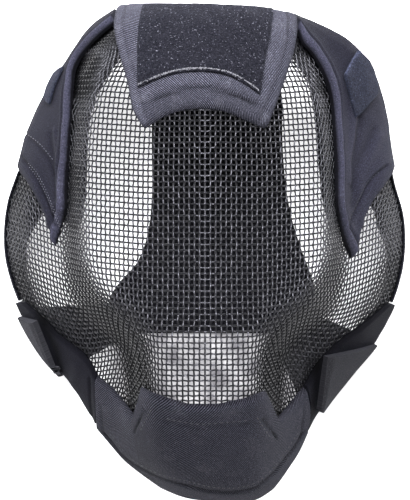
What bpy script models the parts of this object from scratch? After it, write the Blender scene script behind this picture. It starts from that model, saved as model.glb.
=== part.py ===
"""Full-face wire mask of the fencing kind, modelled as it lies face up on its rear edges.

Frame: +X to the right as seen from the front, +Y towards the crown, +Z out of the face.
The lowest edges of the mask touch z = 0. Lengths here are millimetres until a mesh is made.
"Left" and "right" are as seen from the front.

The face is one pressed wire shell. It is described as a height over the XY plane, lofted
through a short table of sections. Every cloth piece is a sheet laid on that shell: a patch
of the plane bounded by four edge curves, lifted to the shell and thickened along its normal.
"""

from collections import namedtuple

import bmesh
import bpy
import numpy as np

MM = 0.001

# ---------------------------------------------------------------------------- driving sizes

WIRE_WALL = 1.8          # two crossing wires of the weave
SEAT_GAP = 0.8           # cloth to wire shell, and cloth to cloth
CUP_GAP = 1.1            # the stiff chin cup bears less closely on the wires
FLOOR_DROP = -0.8        # lowers the whole mask until its lowest edge is at z = 0

PAD_THICKNESS = 4.0      # forehead pad, in its middle
PAD_EDGE_WIDTH = 10.0    # over which it thins to its hems
HEM_THICKNESS = 2.6      # cloth where it is folded round a rim
BAND_THICKNESS = 3.2     # side band
BAND_ROLL = 5.5          # rolled inner hem of a side band
BAND_ROLL_WIDTH = 9.0
BAND_ROLL_CREST = 3.2    # from the free edge to the roll's highest line
JAW_THICKNESS = 2.4
CUP_THICKNESS = 2.8
LOOP_THICKNESS = 1.6     # hook-and-loop patch
LOOP_GAP = 0.8
EDGE_WIDTH = 3.0         # over which other cloth thins to its free edge
BINDING_THICKNESS = 1.2
BINDING_WIDTH = 5.0
PANEL_THICKNESS = 2.0
STRAP_THICKNESS = 1.8
BINDING_PLAN = 0.36      # share of that width seen from the front on the steep ear domes
HEM_RETURN = 11.0        # how far a folded hem reaches back inside
HEM_END_SHARE = 0.45     # part of that reach left at the two ends of a hem
HEM_END_RUN = 14.0       # over which it grows to the whole

# Sections of the wire shell across the face, chin first. Each gives its height profile from
# the keel outwards: keel, cheek, top of the side wall, foot of the wall, ear dome, rim.
# "centre" shifts a section sideways and "right_reach" widens its right ear and rim.
Section = namedtuple(
    "Section",
    "y centre keel_z cheek_x cheek_z wall_x wall_z foot_x foot_z ear_x ear_z rim_x rim_z right_reach")
SECTIONS = [
    Section(-144, 8, 10, 8, 9, 14, 8, 18, 7, 21, 6, 27, 2, 1.00),
    Section(-128, 8, 78, 13, 76, 18, 70, 21, 62, 24, 54, 27, 46, 1.00),
    Section(-120, 6, 92, 16, 88, 22, 79, 28, 66, 32, 55, 36, 43, 1.00),
    Section(-110, 2, 104, 20, 98, 27, 87, 35, 66, 40, 52, 46, 38, 1.00),
    Section(-90, 0, 122, 24, 115, 30, 103, 43, 66, 54, 44, 61, 29, 1.00),
    Section(-70, 0, 134, 24, 128, 30, 115, 41, 69, 68, 34, 78, 18, 1.00),
    Section(-50, 0, 142, 24, 134, 31, 121, 45, 66, 81, 31, 93.5, 10, 1.00),
    Section(-40, 0, 144, 26, 134, 38, 117, 58, 61, 86, 32, 99, 8, 1.00),
    Section(-30, 0, 145, 30, 132, 48, 114, 71, 58, 91, 33, 104, 6, 1.00),
    Section(-18, 0, 143.5, 33, 128, 57, 110, 74, 57, 95, 34, 108.5, 5.5, 1.00),
    Section(-5, 0, 142, 35, 125, 63, 106, 75, 57, 98, 35, 111.5, 5.5, 1.00),
    Section(25, 0, 138, 35, 121, 64, 102, 75, 57, 98, 35, 110.5, 6, 1.00),
    Section(60, 0, 130, 33, 114, 63, 97, 73, 60, 88, 37, 99.5, 12, 1.03),
    Section(90, 0, 118, 30, 107, 58, 93, 66, 70, 75, 46, 85, 22, 1.14),
    Section(112, 0, 104, 26, 98, 51, 84, 57, 67, 62, 50, 68, 32, 1.25),
    Section(123, 0, 90, 24, 87, 42, 76, 48, 62, 52, 50, 59, 38, 1.22),
    Section(131, 0, 62, 22, 60, 35, 56, 41, 50, 45, 44, 49, 38, 1.00),
    Section(145, 0, 8, 20, 6, 32, 2, 40, -4, 45, -10, 49, -16, 1.00),
]
# How softly the press rounds the creases between those heights, up the face and across it.
PRESS_RADIUS_UP = 5.0
PRESS_RADIUS_ACROSS = 3.5
GRID_STEP = 2.0
GRID_X = np.arange(-150.0, 151.0, GRID_STEP)
GRID_Y = np.arange(-180.0, 181.0, GRID_STEP)

# Rim of the wire shell, seen from the front.
LEFT_RIM = [(-22, -125.3), (-32.5, -119.7), (-41, -112.8), (-56.5, -95.5), (-69.5, -74), (-86.5, -57),
            (-98.5, -38.5), (-107.4, -19), (-112.2, 2), (-110, 27), (-102.8, 46), (-96.5, 65),
            (-84.8, 88), (-75, 102), (-68.4, 111.6), (-61, 120), (-45.5, 130)]
RIGHT_RIM = [(34, -126), (45.5, -112), (59, -88), (76.5, -67), (95.5, -45.5), (105, -28),
             (111, -5), (111, 17), (104.5, 38), (101.5, 52), (99, 72), (94.5, 88), (87.5, 101.5), (78, 110),
             (64.5, 117.5), (44, 125)]
CHIN_RIM = [(-22, -125.3), (-10, -127.8), (0, -129.2), (14, -131.4), (26, -130.4), (34, -126)]
CROWN_RIM = [(-45.5, 130), (-36, 129.6), (-20, 128.2), (10, 127.2), (30, 126.4), (44, 125)]


# ---------------------------------------------------------------------------- curves

def lengths_along(points):
    """Distance of each point from the first, measured along the line through them."""
    steps = np.linalg.norm(np.diff(points, axis=0), axis=1)
    return np.concatenate([[0.0], np.cumsum(steps)])


def smooth_values(knots, values, wanted):
    """Cubic through the values at the knots, with a slope at each from its neighbours."""
    knots = np.asarray(knots, float)
    values = np.asarray(values, float)
    slopes = np.gradient(values, knots, axis=0)
    span = np.clip(np.searchsorted(knots, wanted, side="right") - 1, 0, len(knots) - 2)
    width = knots[span + 1] - knots[span]
    part = (wanted - knots[span]) / width
    width, part = width[:, None], part[:, None]
    from_start = (1 + 2 * part) * (1 - part) ** 2 * values[span]
    from_start += part * (1 - part) ** 2 * width * slopes[span]
    from_end = part ** 2 * (3 - 2 * part) * values[span + 1]
    from_end += part ** 2 * (part - 1) * width * slopes[span + 1]
    return from_start + from_end


def smooth_curve(points, count):
    """`count` points, evenly spaced, on a smooth curve through the given ones."""
    points = np.asarray(points, float)
    knots = lengths_along(points)
    fine = smooth_values(knots, points, np.linspace(0, knots[-1], 20 * len(points)))
    return even_points(fine, count)


def even_points(points, count):
    """`count` points, evenly spaced, on straight runs through the given ones."""
    points = np.asarray(points, float)
    knots = lengths_along(points)
    wanted = np.linspace(0, knots[-1], count)
    return np.stack([np.interp(wanted, knots, column) for column in points.T], axis=1)


def straight_runs(points, pieces):
    """Every given point, with each run between two of them cut into `pieces`."""
    runs = [np.linspace(a, b, pieces, endpoint=False) for a, b in zip(points[:-1], points[1:])]
    return np.concatenate(runs + [np.asarray(points[-1:], float)])


def curved_between(start, leave, arrive, end, part):
    """Point on a curve that leaves `start` towards `leave` and arrives at `end` from `arrive`."""
    rest = 1 - part
    return (rest ** 3 * start + 3 * part * rest ** 2 * leave + 3 * part ** 2 * rest * arrive
            + part ** 3 * end)


def rim_between(rim, start_y, end_y, count):
    """Evenly spaced points of a side rim from one height on the face to another."""
    fine = smooth_curve(rim, 400)
    keep = (fine[:, 1] >= min(start_y, end_y)) & (fine[:, 1] <= max(start_y, end_y))
    part = even_points(fine[keep], count)
    return part if start_y < end_y else part[::-1]


def four_sided_patch(first_end, last_end, inner, outer, row_places=None):
    """Grid of points between four edge curves that share their corners.

    Row i runs from inner[i] to outer[i]; the first row is first_end, the last is last_end.
    row_places gives how far along, from 0 to 1, each row lies where they aren't even.
    """
    rows, columns = len(inner), len(first_end)
    if row_places is None:
        row_places = np.linspace(0, 1, rows)
    along = row_places[:, None, None]
    across = np.linspace(0, 1, columns)[None, :, None]
    between_sides = (1 - across) * inner[:, None] + across * outer[:, None]
    between_ends = (1 - along) * first_end[None] + along * last_end[None]
    corners = (1 - along) * ((1 - across) * inner[0] + across * outer[0])
    corners = corners + along * ((1 - across) * inner[-1] + across * outer[-1])
    return between_sides + between_ends - corners


# ---------------------------------------------------------------------------- wire shell

def section_heights(y):
    """Heights across the face at one y, from the section table."""
    table = np.array(SECTIONS, float)
    inside = np.clip(y, table[0, 0], table[-1, 0])
    section = Section(*[np.interp(inside, table[:, 0], column) for column in table.T])
    knots = np.array([0, section.cheek_x, section.wall_x, section.foot_x, section.ear_x, section.rim_x])
    heights = [section.keel_z, section.cheek_z, section.wall_z, section.foot_z, section.ear_z,
               section.rim_z]
    rim_slope = (heights[-1] - heights[-2]) / (knots[-1] - knots[-2])
    beyond = 60.0
    heights = np.array(heights + [section.rim_z + beyond * rim_slope])
    reach = np.array([1, 1, 1, 1, section.right_reach, section.right_reach])
    left_knots = np.append(knots, knots[-1] + beyond)
    right_knots = np.append(knots * reach, knots[-1] * section.right_reach + beyond)
    x = GRID_X - section.centre
    return np.where(x < 0, np.interp(-x, left_knots, heights), np.interp(x, right_knots, heights))


def rounded(heights):
    """The same heights with their creases rounded to the press radii."""
    for axis, radius in ((0, PRESS_RADIUS_UP), (1, PRESS_RADIUS_ACROSS)):
        reach = int(3 * radius / GRID_STEP)
        offsets = np.arange(-reach, reach + 1) * GRID_STEP
        weights = np.exp(-0.5 * (offsets / radius) ** 2)
        weights /= weights.sum()
        heights = np.apply_along_axis(
            lambda line: np.convolve(np.pad(line, reach, mode="edge"), weights, "valid"), axis, heights)
    return heights


HEIGHTS = rounded(np.array([section_heights(y) for y in GRID_Y]))


def height_at(points):
    """Height of the shell's outer face over points of the XY plane."""
    column = (points[..., 0] - GRID_X[0]) / GRID_STEP
    row = (points[..., 1] - GRID_Y[0]) / GRID_STEP
    i = np.clip(column.astype(int), 0, len(GRID_X) - 2)
    j = np.clip(row.astype(int), 0, len(GRID_Y) - 2)
    u, v = column - i, row - j
    near = HEIGHTS[j, i] * (1 - u) + HEIGHTS[j, i + 1] * u
    far = HEIGHTS[j + 1, i] * (1 - u) + HEIGHTS[j + 1, i + 1] * u
    return near * (1 - v) + far * v


def on_shell(points):
    """Points of the plane lifted to the shell's outer face, and the face's normals there."""
    step = GRID_STEP
    right = np.array([step, 0.0])
    up = np.array([0.0, step])
    slope_x = (height_at(points + right) - height_at(points - right)) / (2 * step)
    slope_y = (height_at(points + up) - height_at(points - up)) / (2 * step)
    lifted = np.concatenate([points, height_at(points)[..., None]], axis=-1)
    normals = np.stack([-slope_x, -slope_y, np.ones_like(slope_x)], axis=-1)
    return lifted, normals / np.linalg.norm(normals, axis=-1, keepdims=True)


def shell_path(points, count):
    """`count` points of the plane, evenly spaced as measured on the shell above them."""
    fine = even_points(points, 120)
    walked = lengths_along(on_shell(fine)[0])
    wanted = np.linspace(0, walked[-1], count)
    return np.stack([np.interp(wanted, walked, column) for column in fine.T], axis=1)


# ---------------------------------------------------------------------------- making solids

def sheet_solid(name, outer, inner, colour, roughness, metallic):
    """Closed solid between two grids of points that match one to one."""
    rows, columns = outer.shape[:2]
    bm = bmesh.new()
    lowered = np.array([0.0, 0.0, FLOOR_DROP])
    skins = []
    for grid in (outer, inner):
        skins.append([[bm.verts.new((point + lowered) * MM) for point in row] for row in grid])
    top, under = skins
    for i in range(rows - 1):
        for j in range(columns - 1):
            bm.faces.new((top[i][j], top[i + 1][j], top[i + 1][j + 1], top[i][j + 1]))
            bm.faces.new((under[i][j], under[i][j + 1], under[i + 1][j + 1], under[i + 1][j]))
    for i in range(rows - 1):
        for j in (0, columns - 1):
            bm.faces.new((top[i][j], top[i + 1][j], under[i + 1][j], under[i][j]))
    for j in range(columns - 1):
        for i in (0, rows - 1):
            bm.faces.new((top[i][j], top[i][j + 1], under[i][j + 1], under[i][j]))
    bmesh.ops.triangulate(bm, faces=bm.faces[:])
    bmesh.ops.recalc_face_normals(bm, faces=bm.faces[:])
    mesh = bpy.data.meshes.new(name)
    bm.to_mesh(mesh)
    bm.free()
    if mesh_volume(mesh) < 0:
        mesh.flip_normals()
    mesh.shade_smooth()
    mesh.materials.append(plain_material(name, colour, roughness, metallic))
    bpy.context.scene.collection.objects.link(bpy.data.objects.new(name, mesh))


def mesh_volume(mesh):
    """Signed volume, which is negative where the faces point inwards."""
    total = 0.0
    for face in mesh.polygons:
        a, b, c = (mesh.vertices[index].co for index in face.vertices)
        total += a.dot(b.cross(c)) / 6.0
    return total


def plain_material(name, colour, roughness, metallic):
    material = bpy.data.materials.new(name)
    material.use_nodes = True
    shader = material.node_tree.nodes["Principled BSDF"]
    shader.inputs["Base Color"].default_value = (*colour, 1.0)
    shader.inputs["Roughness"].default_value = roughness
    shader.inputs["Metallic"].default_value = metallic
    return material


Finish = namedtuple("Finish", "colour roughness metallic")
STEEL = Finish((0.012, 0.012, 0.013), 0.38, 0.8)
TWILL = Finish((0.028, 0.028, 0.036), 0.85, 0.0)
SMOOTH_CLOTH = Finish((0.022, 0.022, 0.030), 0.80, 0.0)
LOOP_PILE = Finish((0.030, 0.030, 0.040), 0.95, 0.0)
TAPE = Finish((0.018, 0.018, 0.022), 0.75, 0.0)


Hem = namedtuple("Hem", "thickness reach")
HEM_TURN = np.radians([50, 0, -50])              # where the fold round a rim has its points
HEM_RETURN_STOPS = (0.4, 1.0)                   # and its return inside, as parts of its reach


def cloth_on_shell(name, grid, finish, lift, thickness, columns=8, hem=None, free_end=None):
    """Sheet on the shell over a grid of plane points, whose rows may run to the rim.

    thickness(from_edge, from_rim) gives the sheet's thickness along a row. With a hem, each
    row goes on round the rim's edge and back inside. free_end(i, place, normal) adds points
    past the hem's end as a list of (point, normal) pairs.
    """
    outer, inner = [], []
    outwards = away_from_face(grid[:, -1])
    reaches = hem_reaches(grid[:, -1], hem, free_end) if hem else None
    for i, row in enumerate(grid):
        path = shell_path(row, columns)
        points, normals = on_shell(path)
        walked = lengths_along(points)
        thick = np.array([thickness(d, walked[-1] - d) for d in walked])[:, None]
        over = list(points + normals * (lift + thick))
        under = list(points + normals * lift)
        if hem:
            turned = folded_round_rim(row[-1], outwards[i], lift, hem._replace(reach=reaches[i]))
            over += turned[0]
            under += turned[1]
            if free_end:
                for place, normal in free_end(i, under[-1], over[-1] - under[-1]):
                    under.append(place)
                    over.append(place + normal * hem.thickness)
        outer.append(over)
        inner.append(under)
    sheet_solid(name, np.array(outer), np.array(inner), *finish)


def away_from_face(edge):
    """Unit directions in the plane, square to an edge line and pointing away from the face."""
    headings = np.gradient(edge, axis=0)
    away = np.stack([headings[:, 1], -headings[:, 0]], axis=1)
    away /= np.linalg.norm(away, axis=1, keepdims=True)
    return away * np.sign((away * edge).sum(axis=1, keepdims=True))


def hem_reaches(edge, hem, free_end):
    """How far the hem reaches back inside at each point of its edge, less towards its ends."""
    if free_end:
        return np.full(len(edge), hem.reach)
    along = lengths_along(edge)
    from_end = np.minimum(along, along[-1] - along)
    return hem.reach * (HEM_END_SHARE + (1 - HEM_END_SHARE) * np.minimum(1.0, from_end / HEM_END_RUN))


def folded_round_rim(rim_point, outwards, lift, hem):
    """Outer and inner points of a fold from the outer face, round the rim, back inside."""
    back_in = np.linspace(rim_point, rim_point - outwards * hem.reach, 60)
    points, normals = on_shell(back_in)
    walked = lengths_along(points)
    edge, normal = points[0], normals[0]
    heading = points[0] - points[1]
    heading -= normal * heading.dot(normal)
    heading /= np.linalg.norm(heading)
    middle = edge - normal * WIRE_WALL / 2
    near = WIRE_WALL / 2 + lift
    far = near + hem.thickness
    over, under = [], []
    for turn in HEM_TURN:
        direction = normal * np.sin(turn) + heading * np.cos(turn)
        over.append(middle + direction * far)
        under.append(middle + direction * near)
    for back in HEM_RETURN_STOPS:
        at = int(np.searchsorted(walked, back * hem.reach))
        over.append(points[at] - normals[at] * (WIRE_WALL + lift + hem.thickness))
        under.append(points[at] - normals[at] * (WIRE_WALL + lift))
    return over, under


def even(value):
    """Thickness that is the same all over, thinned by a third at the free edge."""
    return lambda from_edge, from_rim: value * (2 + min(1.0, from_edge / EDGE_WIDTH)) / 3


# ---------------------------------------------------------------------------- the pieces

SHELL_ROWS = 33
SHELL_COLUMNS = 31
SHELL_END_WEIGHT = 0.45  # how much closer the rows lie at the chin and the crown


def make_wire_mesh():
    even_rows = np.linspace(0, 1, SHELL_ROWS)
    close_at_ends = 0.5 - 0.5 * np.cos(np.pi * even_rows)
    rows = SHELL_END_WEIGHT * close_at_ends + (1 - SHELL_END_WEIGHT) * even_rows
    sides = []
    for rim in (LEFT_RIM, RIGHT_RIM):
        rim = np.array(rim, float)
        climbed = (rim[:, 1] - rim[0, 1]) / (rim[-1, 1] - rim[0, 1])
        sides.append(smooth_values(climbed, rim, rows))
    chin = smooth_curve(CHIN_RIM, 2 * SHELL_COLUMNS)
    crown = smooth_curve(CROWN_RIM, 2 * SHELL_COLUMNS)
    grid = four_sided_patch(chin, crown, sides[0], sides[1], rows)
    plan = np.array([shell_path(row, SHELL_COLUMNS) for row in grid])
    points, normals = on_shell(plan)
    sheet_solid("wire_mesh", points, points - normals * WIRE_WALL, *STEEL)


def make_forehead_pad():
    lower = smooth_curve([(-30, 61), (-26, 63.5), (-20, 67), (-10, 70), (0, 70.3), (10, 69), (20, 65),
                          (26, 62.5), (30, 61)], 14)
    upper = smooth_curve([(-45.4, 130)] + CROWN_RIM[1:], 14)
    left = smooth_curve([(-30, 61), (-34, 68), (-38, 85), (-42.5, 99), (-45.5, 113), (-45.4, 130)], 11)
    right = smooth_curve([(30, 61), (33, 69), (37, 80), (41, 91), (45, 104), (46.3, 114), (44, 125)], 11)
    grid = four_sided_patch(left, right, lower, upper)

    def thickness(from_edge, from_rim):
        fullness = min(1.0, from_edge / PAD_EDGE_WIDTH, from_rim / PAD_EDGE_WIDTH)
        return HEM_THICKNESS + (PAD_THICKNESS - HEM_THICKNESS) * fullness

    cloth_on_shell("forehead_pad", grid, TWILL, SEAT_GAP, thickness, 9, Hem(HEM_THICKNESS, HEM_RETURN))


def make_forehead_loop():
    lower = smooth_curve([(-31.5, 81), (-21, 85), (-11, 87.2), (0, 87.3), (9, 86), (18, 82), (25.5, 77)], 9)
    upper = smooth_curve([(-31, 124), (0, 123.8), (33.5, 121.5)], 9)
    left = smooth_curve([(-31.5, 81), (-32, 95), (-31.5, 113), (-31, 124)], 8)
    right = smooth_curve([(25.5, 77), (28.5, 95), (32, 113), (33.5, 121.5)], 8)
    grid = four_sided_patch(left, right, lower, upper)
    lift = SEAT_GAP + PAD_THICKNESS + LOOP_GAP
    cloth_on_shell("forehead_loop", grid, LOOP_PILE, lift, even(LOOP_THICKNESS), 7)


BandShape = namedtuple("BandShape", "rim inner lower rim_start_y rim_end_y")
LEFT_BAND = BandShape(
    rim=LEFT_RIM,
    inner=[(-47, 118), (-54, 113.2), (-62.3, 106.4), (-67.8, 98), (-69.2, 85), (-70, 70), (-70.8, 53),
           (-72, 31.5), (-72, 22.5), (-76, 11), (-79.3, 2)],
    lower=[(-79.3, 2), (-83, 13.5), (-86, 21.5), (-90, 29.6), (-94.5, 36.3), (-103, 45)],
    rim_start_y=127.3,
    rim_end_y=45.0)
RIGHT_BAND = BandShape(
    rim=RIGHT_RIM,
    inner=[(47.8, 113.5), (49.8, 107.5), (55, 101.5), (60.6, 92), (64.2, 81), (66, 63), (66.9, 42),
           (67.2, 23.5), (70, 11), (76.6, -4.2)],
    lower=[(76.6, -4.2), (80.8, 6.5), (85, 18.9), (90.8, 29.5), (95.6, 35.6), (102.6, 44)],
    rim_start_y=124.2,
    rim_end_y=44.0)


def make_side_band(name, shape):
    stations = 17
    inner = smooth_curve(shape.inner, stations)
    outer = rim_between(shape.rim, shape.rim_start_y, shape.rim_end_y, stations)
    crown_end = np.linspace(inner[0], outer[0], 9)
    lower = smooth_curve(shape.lower[:-1] + [tuple(outer[-1])], 9)
    grid = four_sided_patch(crown_end, lower, inner, outer)

    def thickness(from_edge, from_rim):
        from_crest = (from_edge - BAND_ROLL_CREST) / (BAND_ROLL_WIDTH - BAND_ROLL_CREST)
        roll = (BAND_ROLL - BAND_THICKNESS) * max(0.0, 1.0 - from_crest ** 2)
        thinning = (BAND_THICKNESS - HEM_THICKNESS) * max(0.0, 1.0 - from_rim / BAND_ROLL_WIDTH)
        return BAND_THICKNESS - thinning + roll

    cloth_on_shell(name, grid, SMOOTH_CLOTH, SEAT_GAP, thickness, 7, Hem(HEM_THICKNESS, HEM_RETURN))


def make_side_loop(name, inner, outer):
    inner = smooth_curve(inner, 6)
    outer = smooth_curve(outer, 6)
    grid = four_sided_patch(np.linspace(inner[0], outer[0], 5), np.linspace(inner[-1], outer[-1], 5),
                            inner, outer)
    lift = SEAT_GAP + BAND_THICKNESS + LOOP_GAP
    cloth_on_shell(name, grid, LOOP_PILE, lift, even(LOOP_THICKNESS), 5)


def make_ear_edge(name, rim, top_y, bottom_y):
    outer = rim_between(rim, top_y, bottom_y, 11)
    grid = np.stack([outer - away_from_face(outer) * BINDING_WIDTH * BINDING_PLAN, outer], axis=1)
    cloth_on_shell(name, grid, TAPE, SEAT_GAP, even(BINDING_THICKNESS), 3,
                   Hem(BINDING_THICKNESS, BINDING_WIDTH))


JawShape = namedtuple("JawShape", "rim upper seam_end rim_start_y rim_end_y")
LEFT_JAW = JawShape(
    rim=LEFT_RIM,
    upper=[(-98.5, -28.5), (-94, -32), (-88.5, -36.2), (-84, -40), (-80.5, -43.8), (-73.5, -49.2),
           (-65.5, -54.8), (-60.5, -60.5), (-57.5, -67)],
    seam_end=[(-57.5, -67), (-57.2, -80), (-57.5, -94.3)],
    rim_start_y=-30.0,
    rim_end_y=-94.3)
RIGHT_JAW = JawShape(
    rim=RIGHT_RIM,
    upper=[(100, -29.5), (94, -34), (82, -42), (75, -46.5), (70, -50.5), (65, -55), (59, -61.5),
           (52.5, -72)],
    seam_end=[(52.5, -72), (54.5, -82), (53.8, -97)],
    rim_start_y=-31.0,
    rim_end_y=-97.0)


def make_jaw(name, shape):
    stations = 12
    inner = smooth_curve(shape.upper, stations)
    outer = rim_between(shape.rim, shape.rim_start_y, shape.rim_end_y, stations)
    seam = smooth_curve(shape.seam_end[:-1] + [tuple(outer[-1])], 7)
    grid = four_sided_patch(np.linspace(inner[0], outer[0], 7), seam, inner, outer)
    cloth_on_shell(name, grid, SMOOTH_CLOTH, SEAT_GAP, even(JAW_THICKNESS), 6,
                   Hem(JAW_THICKNESS, HEM_RETURN))


CUP_TOP = [(-56.5, -67.8), (-48, -73.5), (-41.5, -80), (-35, -86), (-30.5, -69.5), (-20, -72.7),
           (-8, -76), (6, -76), (18, -73.7), (28.5, -71), (36, -88), (42, -83), (51.5, -73.5)]
CUP_RIM_START_Y = -95.4
CUP_RIM_END_Y = -98.2


def make_chin_cup():
    upper = straight_runs(CUP_TOP, 2)
    left = rim_between(LEFT_RIM, CUP_RIM_START_Y, LEFT_RIM[0][1], 40)
    right = rim_between(RIGHT_RIM, RIGHT_RIM[0][1], CUP_RIM_END_Y, 40)
    rim = even_points(np.concatenate([left, smooth_curve(CHIN_RIM, 40), right]), len(upper))
    grid = four_sided_patch(smooth_curve([upper[0], (-56.2, -80), rim[0]], 9),
                            smooth_curve([upper[-1], (53.6, -84), rim[-1]], 9), upper, rim)
    cloth_on_shell("chin_cup", grid, TWILL, CUP_GAP, even(CUP_THICKNESS), 7,
                   Hem(HEM_THICKNESS, HEM_RETURN))


PanelRow = namedtuple("PanelRow", "y left_x right_x")
PANEL_ROWS = [PanelRow(-47, -36, 37), PanelRow(-38, -52, 57), PanelRow(-28, -54, 62),
              PanelRow(-18, -48, 61), PanelRow(-8, -39, 57.5), PanelRow(3, -34, 53.5),
              PanelRow(14, -31.5, 50), PanelRow(30, -30, 46.5), PanelRow(55, -30, 44),
              PanelRow(78, -30, 43.5)]
PANEL_COLUMNS = 9
PANEL_LIFT_ROWS = 6
PANEL_LEAVES = np.array([0.0, 26.0, 0.0])        # how the panel leaves its flat part
PANEL_ARRIVES = np.array([0.0, -2.0, -16.0])     # and comes up to its seam in the crown
PANEL_UNDERSIDE = -FLOOR_DROP                    # the flat part lies on the floor


def make_head_panel():
    """Flat behind the head, then curving up to its seam inside the crown."""
    across = np.linspace(0, 1, PANEL_COLUMNS)
    rows_under = []
    for row in PANEL_ROWS:
        x = row.left_x + (row.right_x - row.left_x) * across
        rows_under.append(np.stack([x, np.full_like(x, row.y), np.full_like(x, PANEL_UNDERSIDE)], axis=1))
    last = rows_under[-1]
    seam_x = -29 + 67 * across
    crown = smooth_curve(CROWN_RIM, 60)
    rim_y = np.interp(seam_x, crown[:, 0], crown[:, 1])
    seam_plan = np.stack([seam_x, rim_y - 1.0], axis=1)
    point, normal = on_shell(seam_plan)
    inset = WIRE_WALL + 2 * SEAT_GAP + HEM_THICKNESS + PANEL_THICKNESS
    seam = point - normal * inset
    for part in np.linspace(0, 1, PANEL_LIFT_ROWS + 1)[1:]:
        rows_under.append(curved_between(last, last + PANEL_LEAVES, seam + PANEL_ARRIVES, seam, part))
    under = np.array(rows_under)
    along = np.gradient(under, axis=0)
    sideways = np.gradient(under, axis=1)
    normals = np.cross(sideways, along)
    normals /= np.linalg.norm(normals, axis=-1, keepdims=True)
    sheet_solid("head_panel", under + normals * PANEL_THICKNESS, under, *SMOOTH_CLOTH)


StrapShape = namedtuple("StrapShape", "rim tab rim_start_y rim_end_y panel_end")
LEFT_STRAP = StrapShape(
    rim=LEFT_RIM,
    tab=[(-89, -37), (-79, -64)],
    rim_start_y=-35.5,
    rim_end_y=-67.0,
    panel_end=[(-40, -30), (-36, -45)])
RIGHT_STRAP = StrapShape(
    rim=RIGHT_RIM,
    tab=[(61, -56), (57, -85)],
    rim_start_y=-50.5,
    rim_end_y=-87.0,
    panel_end=[(44, -28), (36, -45)])
STRAP_STATIONS = 6
STRAP_RUN_POINTS = 8
STRAP_LEAVES = 0.25      # parts of the free run's length over which it turns at each end
STRAP_ARRIVES = 0.55
STRAP_RETURN = 9.0
UP = np.array([0.0, 0.0, 1.0])


def make_strap(name, shape):
    """Strap that lies on the head panel, climbs to the rim and folds round it as a tab."""
    lift = SEAT_GAP + JAW_THICKNESS + SEAT_GAP
    outer = rim_between(shape.rim, shape.rim_start_y, shape.rim_end_y, STRAP_STATIONS)
    inner = np.linspace(shape.tab[0], shape.tab[1], STRAP_STATIONS)
    grid = np.stack([inner, outer], axis=1)
    seat_z = PANEL_UNDERSIDE + PANEL_THICKNESS + SEAT_GAP + STRAP_THICKNESS
    ends = np.linspace(shape.panel_end[0], shape.panel_end[1], STRAP_STATIONS)

    def to_panel(i, start, outwards):
        end = np.array([*ends[i], seat_z])
        reach = np.linalg.norm(end - start)
        outwards = outwards / np.linalg.norm(outwards)
        flat = (start - end) * np.array([1, 1, 0])
        flat /= np.linalg.norm(flat)
        pairs = []
        for part in np.linspace(0, 1, STRAP_RUN_POINTS)[1:]:
            leave = start - flat * reach * STRAP_LEAVES + UP
            arrive = end + flat * reach * STRAP_ARRIVES
            place = curved_between(start, leave, arrive, end, part)
            normal = outwards * (1 - part) - UP * part
            pairs.append((place, normal / np.linalg.norm(normal)))
        return pairs

    cloth_on_shell(name, grid, SMOOTH_CLOTH, lift, even(STRAP_THICKNESS), 4,
                   Hem(STRAP_THICKNESS, STRAP_RETURN), to_panel)


# ---------------------------------------------------------------------------- assembly

def clear_scene():
    for item in list(bpy.data.objects):
        bpy.data.objects.remove(item, do_unlink=True)


clear_scene()
make_wire_mesh()
make_forehead_pad()
make_forehead_loop()
make_side_band("side_band_left", LEFT_BAND)
make_side_band("side_band_right", RIGHT_BAND)
make_side_loop("side_loop_left", [(-72, 97), (-76, 88.5), (-77.5, 79)], [(-78, 94.5), (-81, 88), (-82.5, 81.5)])
make_side_loop("side_loop_right", [(77.5, 105.5), (69.5, 91), (75.5, 71.5)], [(83.5, 100), (86.5, 92.5), (87, 85)])
make_ear_edge("ear_edge_left", LEFT_RIM, 42.8, -28.6)
make_ear_edge("ear_edge_right", RIGHT_RIM, 41.8, -29.4)
make_jaw("jaw_left", LEFT_JAW)
make_jaw("jaw_right", RIGHT_JAW)
make_chin_cup()
make_head_panel()
make_strap("strap_left", LEFT_STRAP)
make_strap("strap_right", RIGHT_STRAP)
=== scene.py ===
"""Looks of the full-face wire mask: woven wires, padded twill, bands, tabs, tape and stitches.

Lengths are millimetres until a mesh is made. The shell, its rim and the edges of the cloth
repeat the values of the CAD source, so each piece lies where its solid does.
"left" and "right" are as seen from the front.
"""

from collections import namedtuple

import bpy
import numpy as np
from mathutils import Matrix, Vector
from mathutils.bvhtree import BVHTree


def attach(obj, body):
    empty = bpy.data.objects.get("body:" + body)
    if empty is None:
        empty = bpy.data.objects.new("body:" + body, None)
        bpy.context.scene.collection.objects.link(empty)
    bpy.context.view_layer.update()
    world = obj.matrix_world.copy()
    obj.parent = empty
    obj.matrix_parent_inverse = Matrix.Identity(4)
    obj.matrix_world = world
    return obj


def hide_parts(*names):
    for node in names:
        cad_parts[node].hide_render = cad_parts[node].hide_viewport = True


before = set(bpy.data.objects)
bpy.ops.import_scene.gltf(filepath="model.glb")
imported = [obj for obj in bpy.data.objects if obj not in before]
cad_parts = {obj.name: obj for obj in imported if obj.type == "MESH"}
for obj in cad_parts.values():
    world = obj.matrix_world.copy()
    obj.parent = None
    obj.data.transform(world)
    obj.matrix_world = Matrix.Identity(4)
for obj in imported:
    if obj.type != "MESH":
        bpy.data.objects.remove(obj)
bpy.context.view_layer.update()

MM = 0.001
FLOOR_DROP = -0.8        # the same lowering of the whole mask as in the CAD source
LOWERED = np.array([0.0, 0.0, FLOOR_DROP])

# ---------------------------------------------------------------------------- sizes

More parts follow.
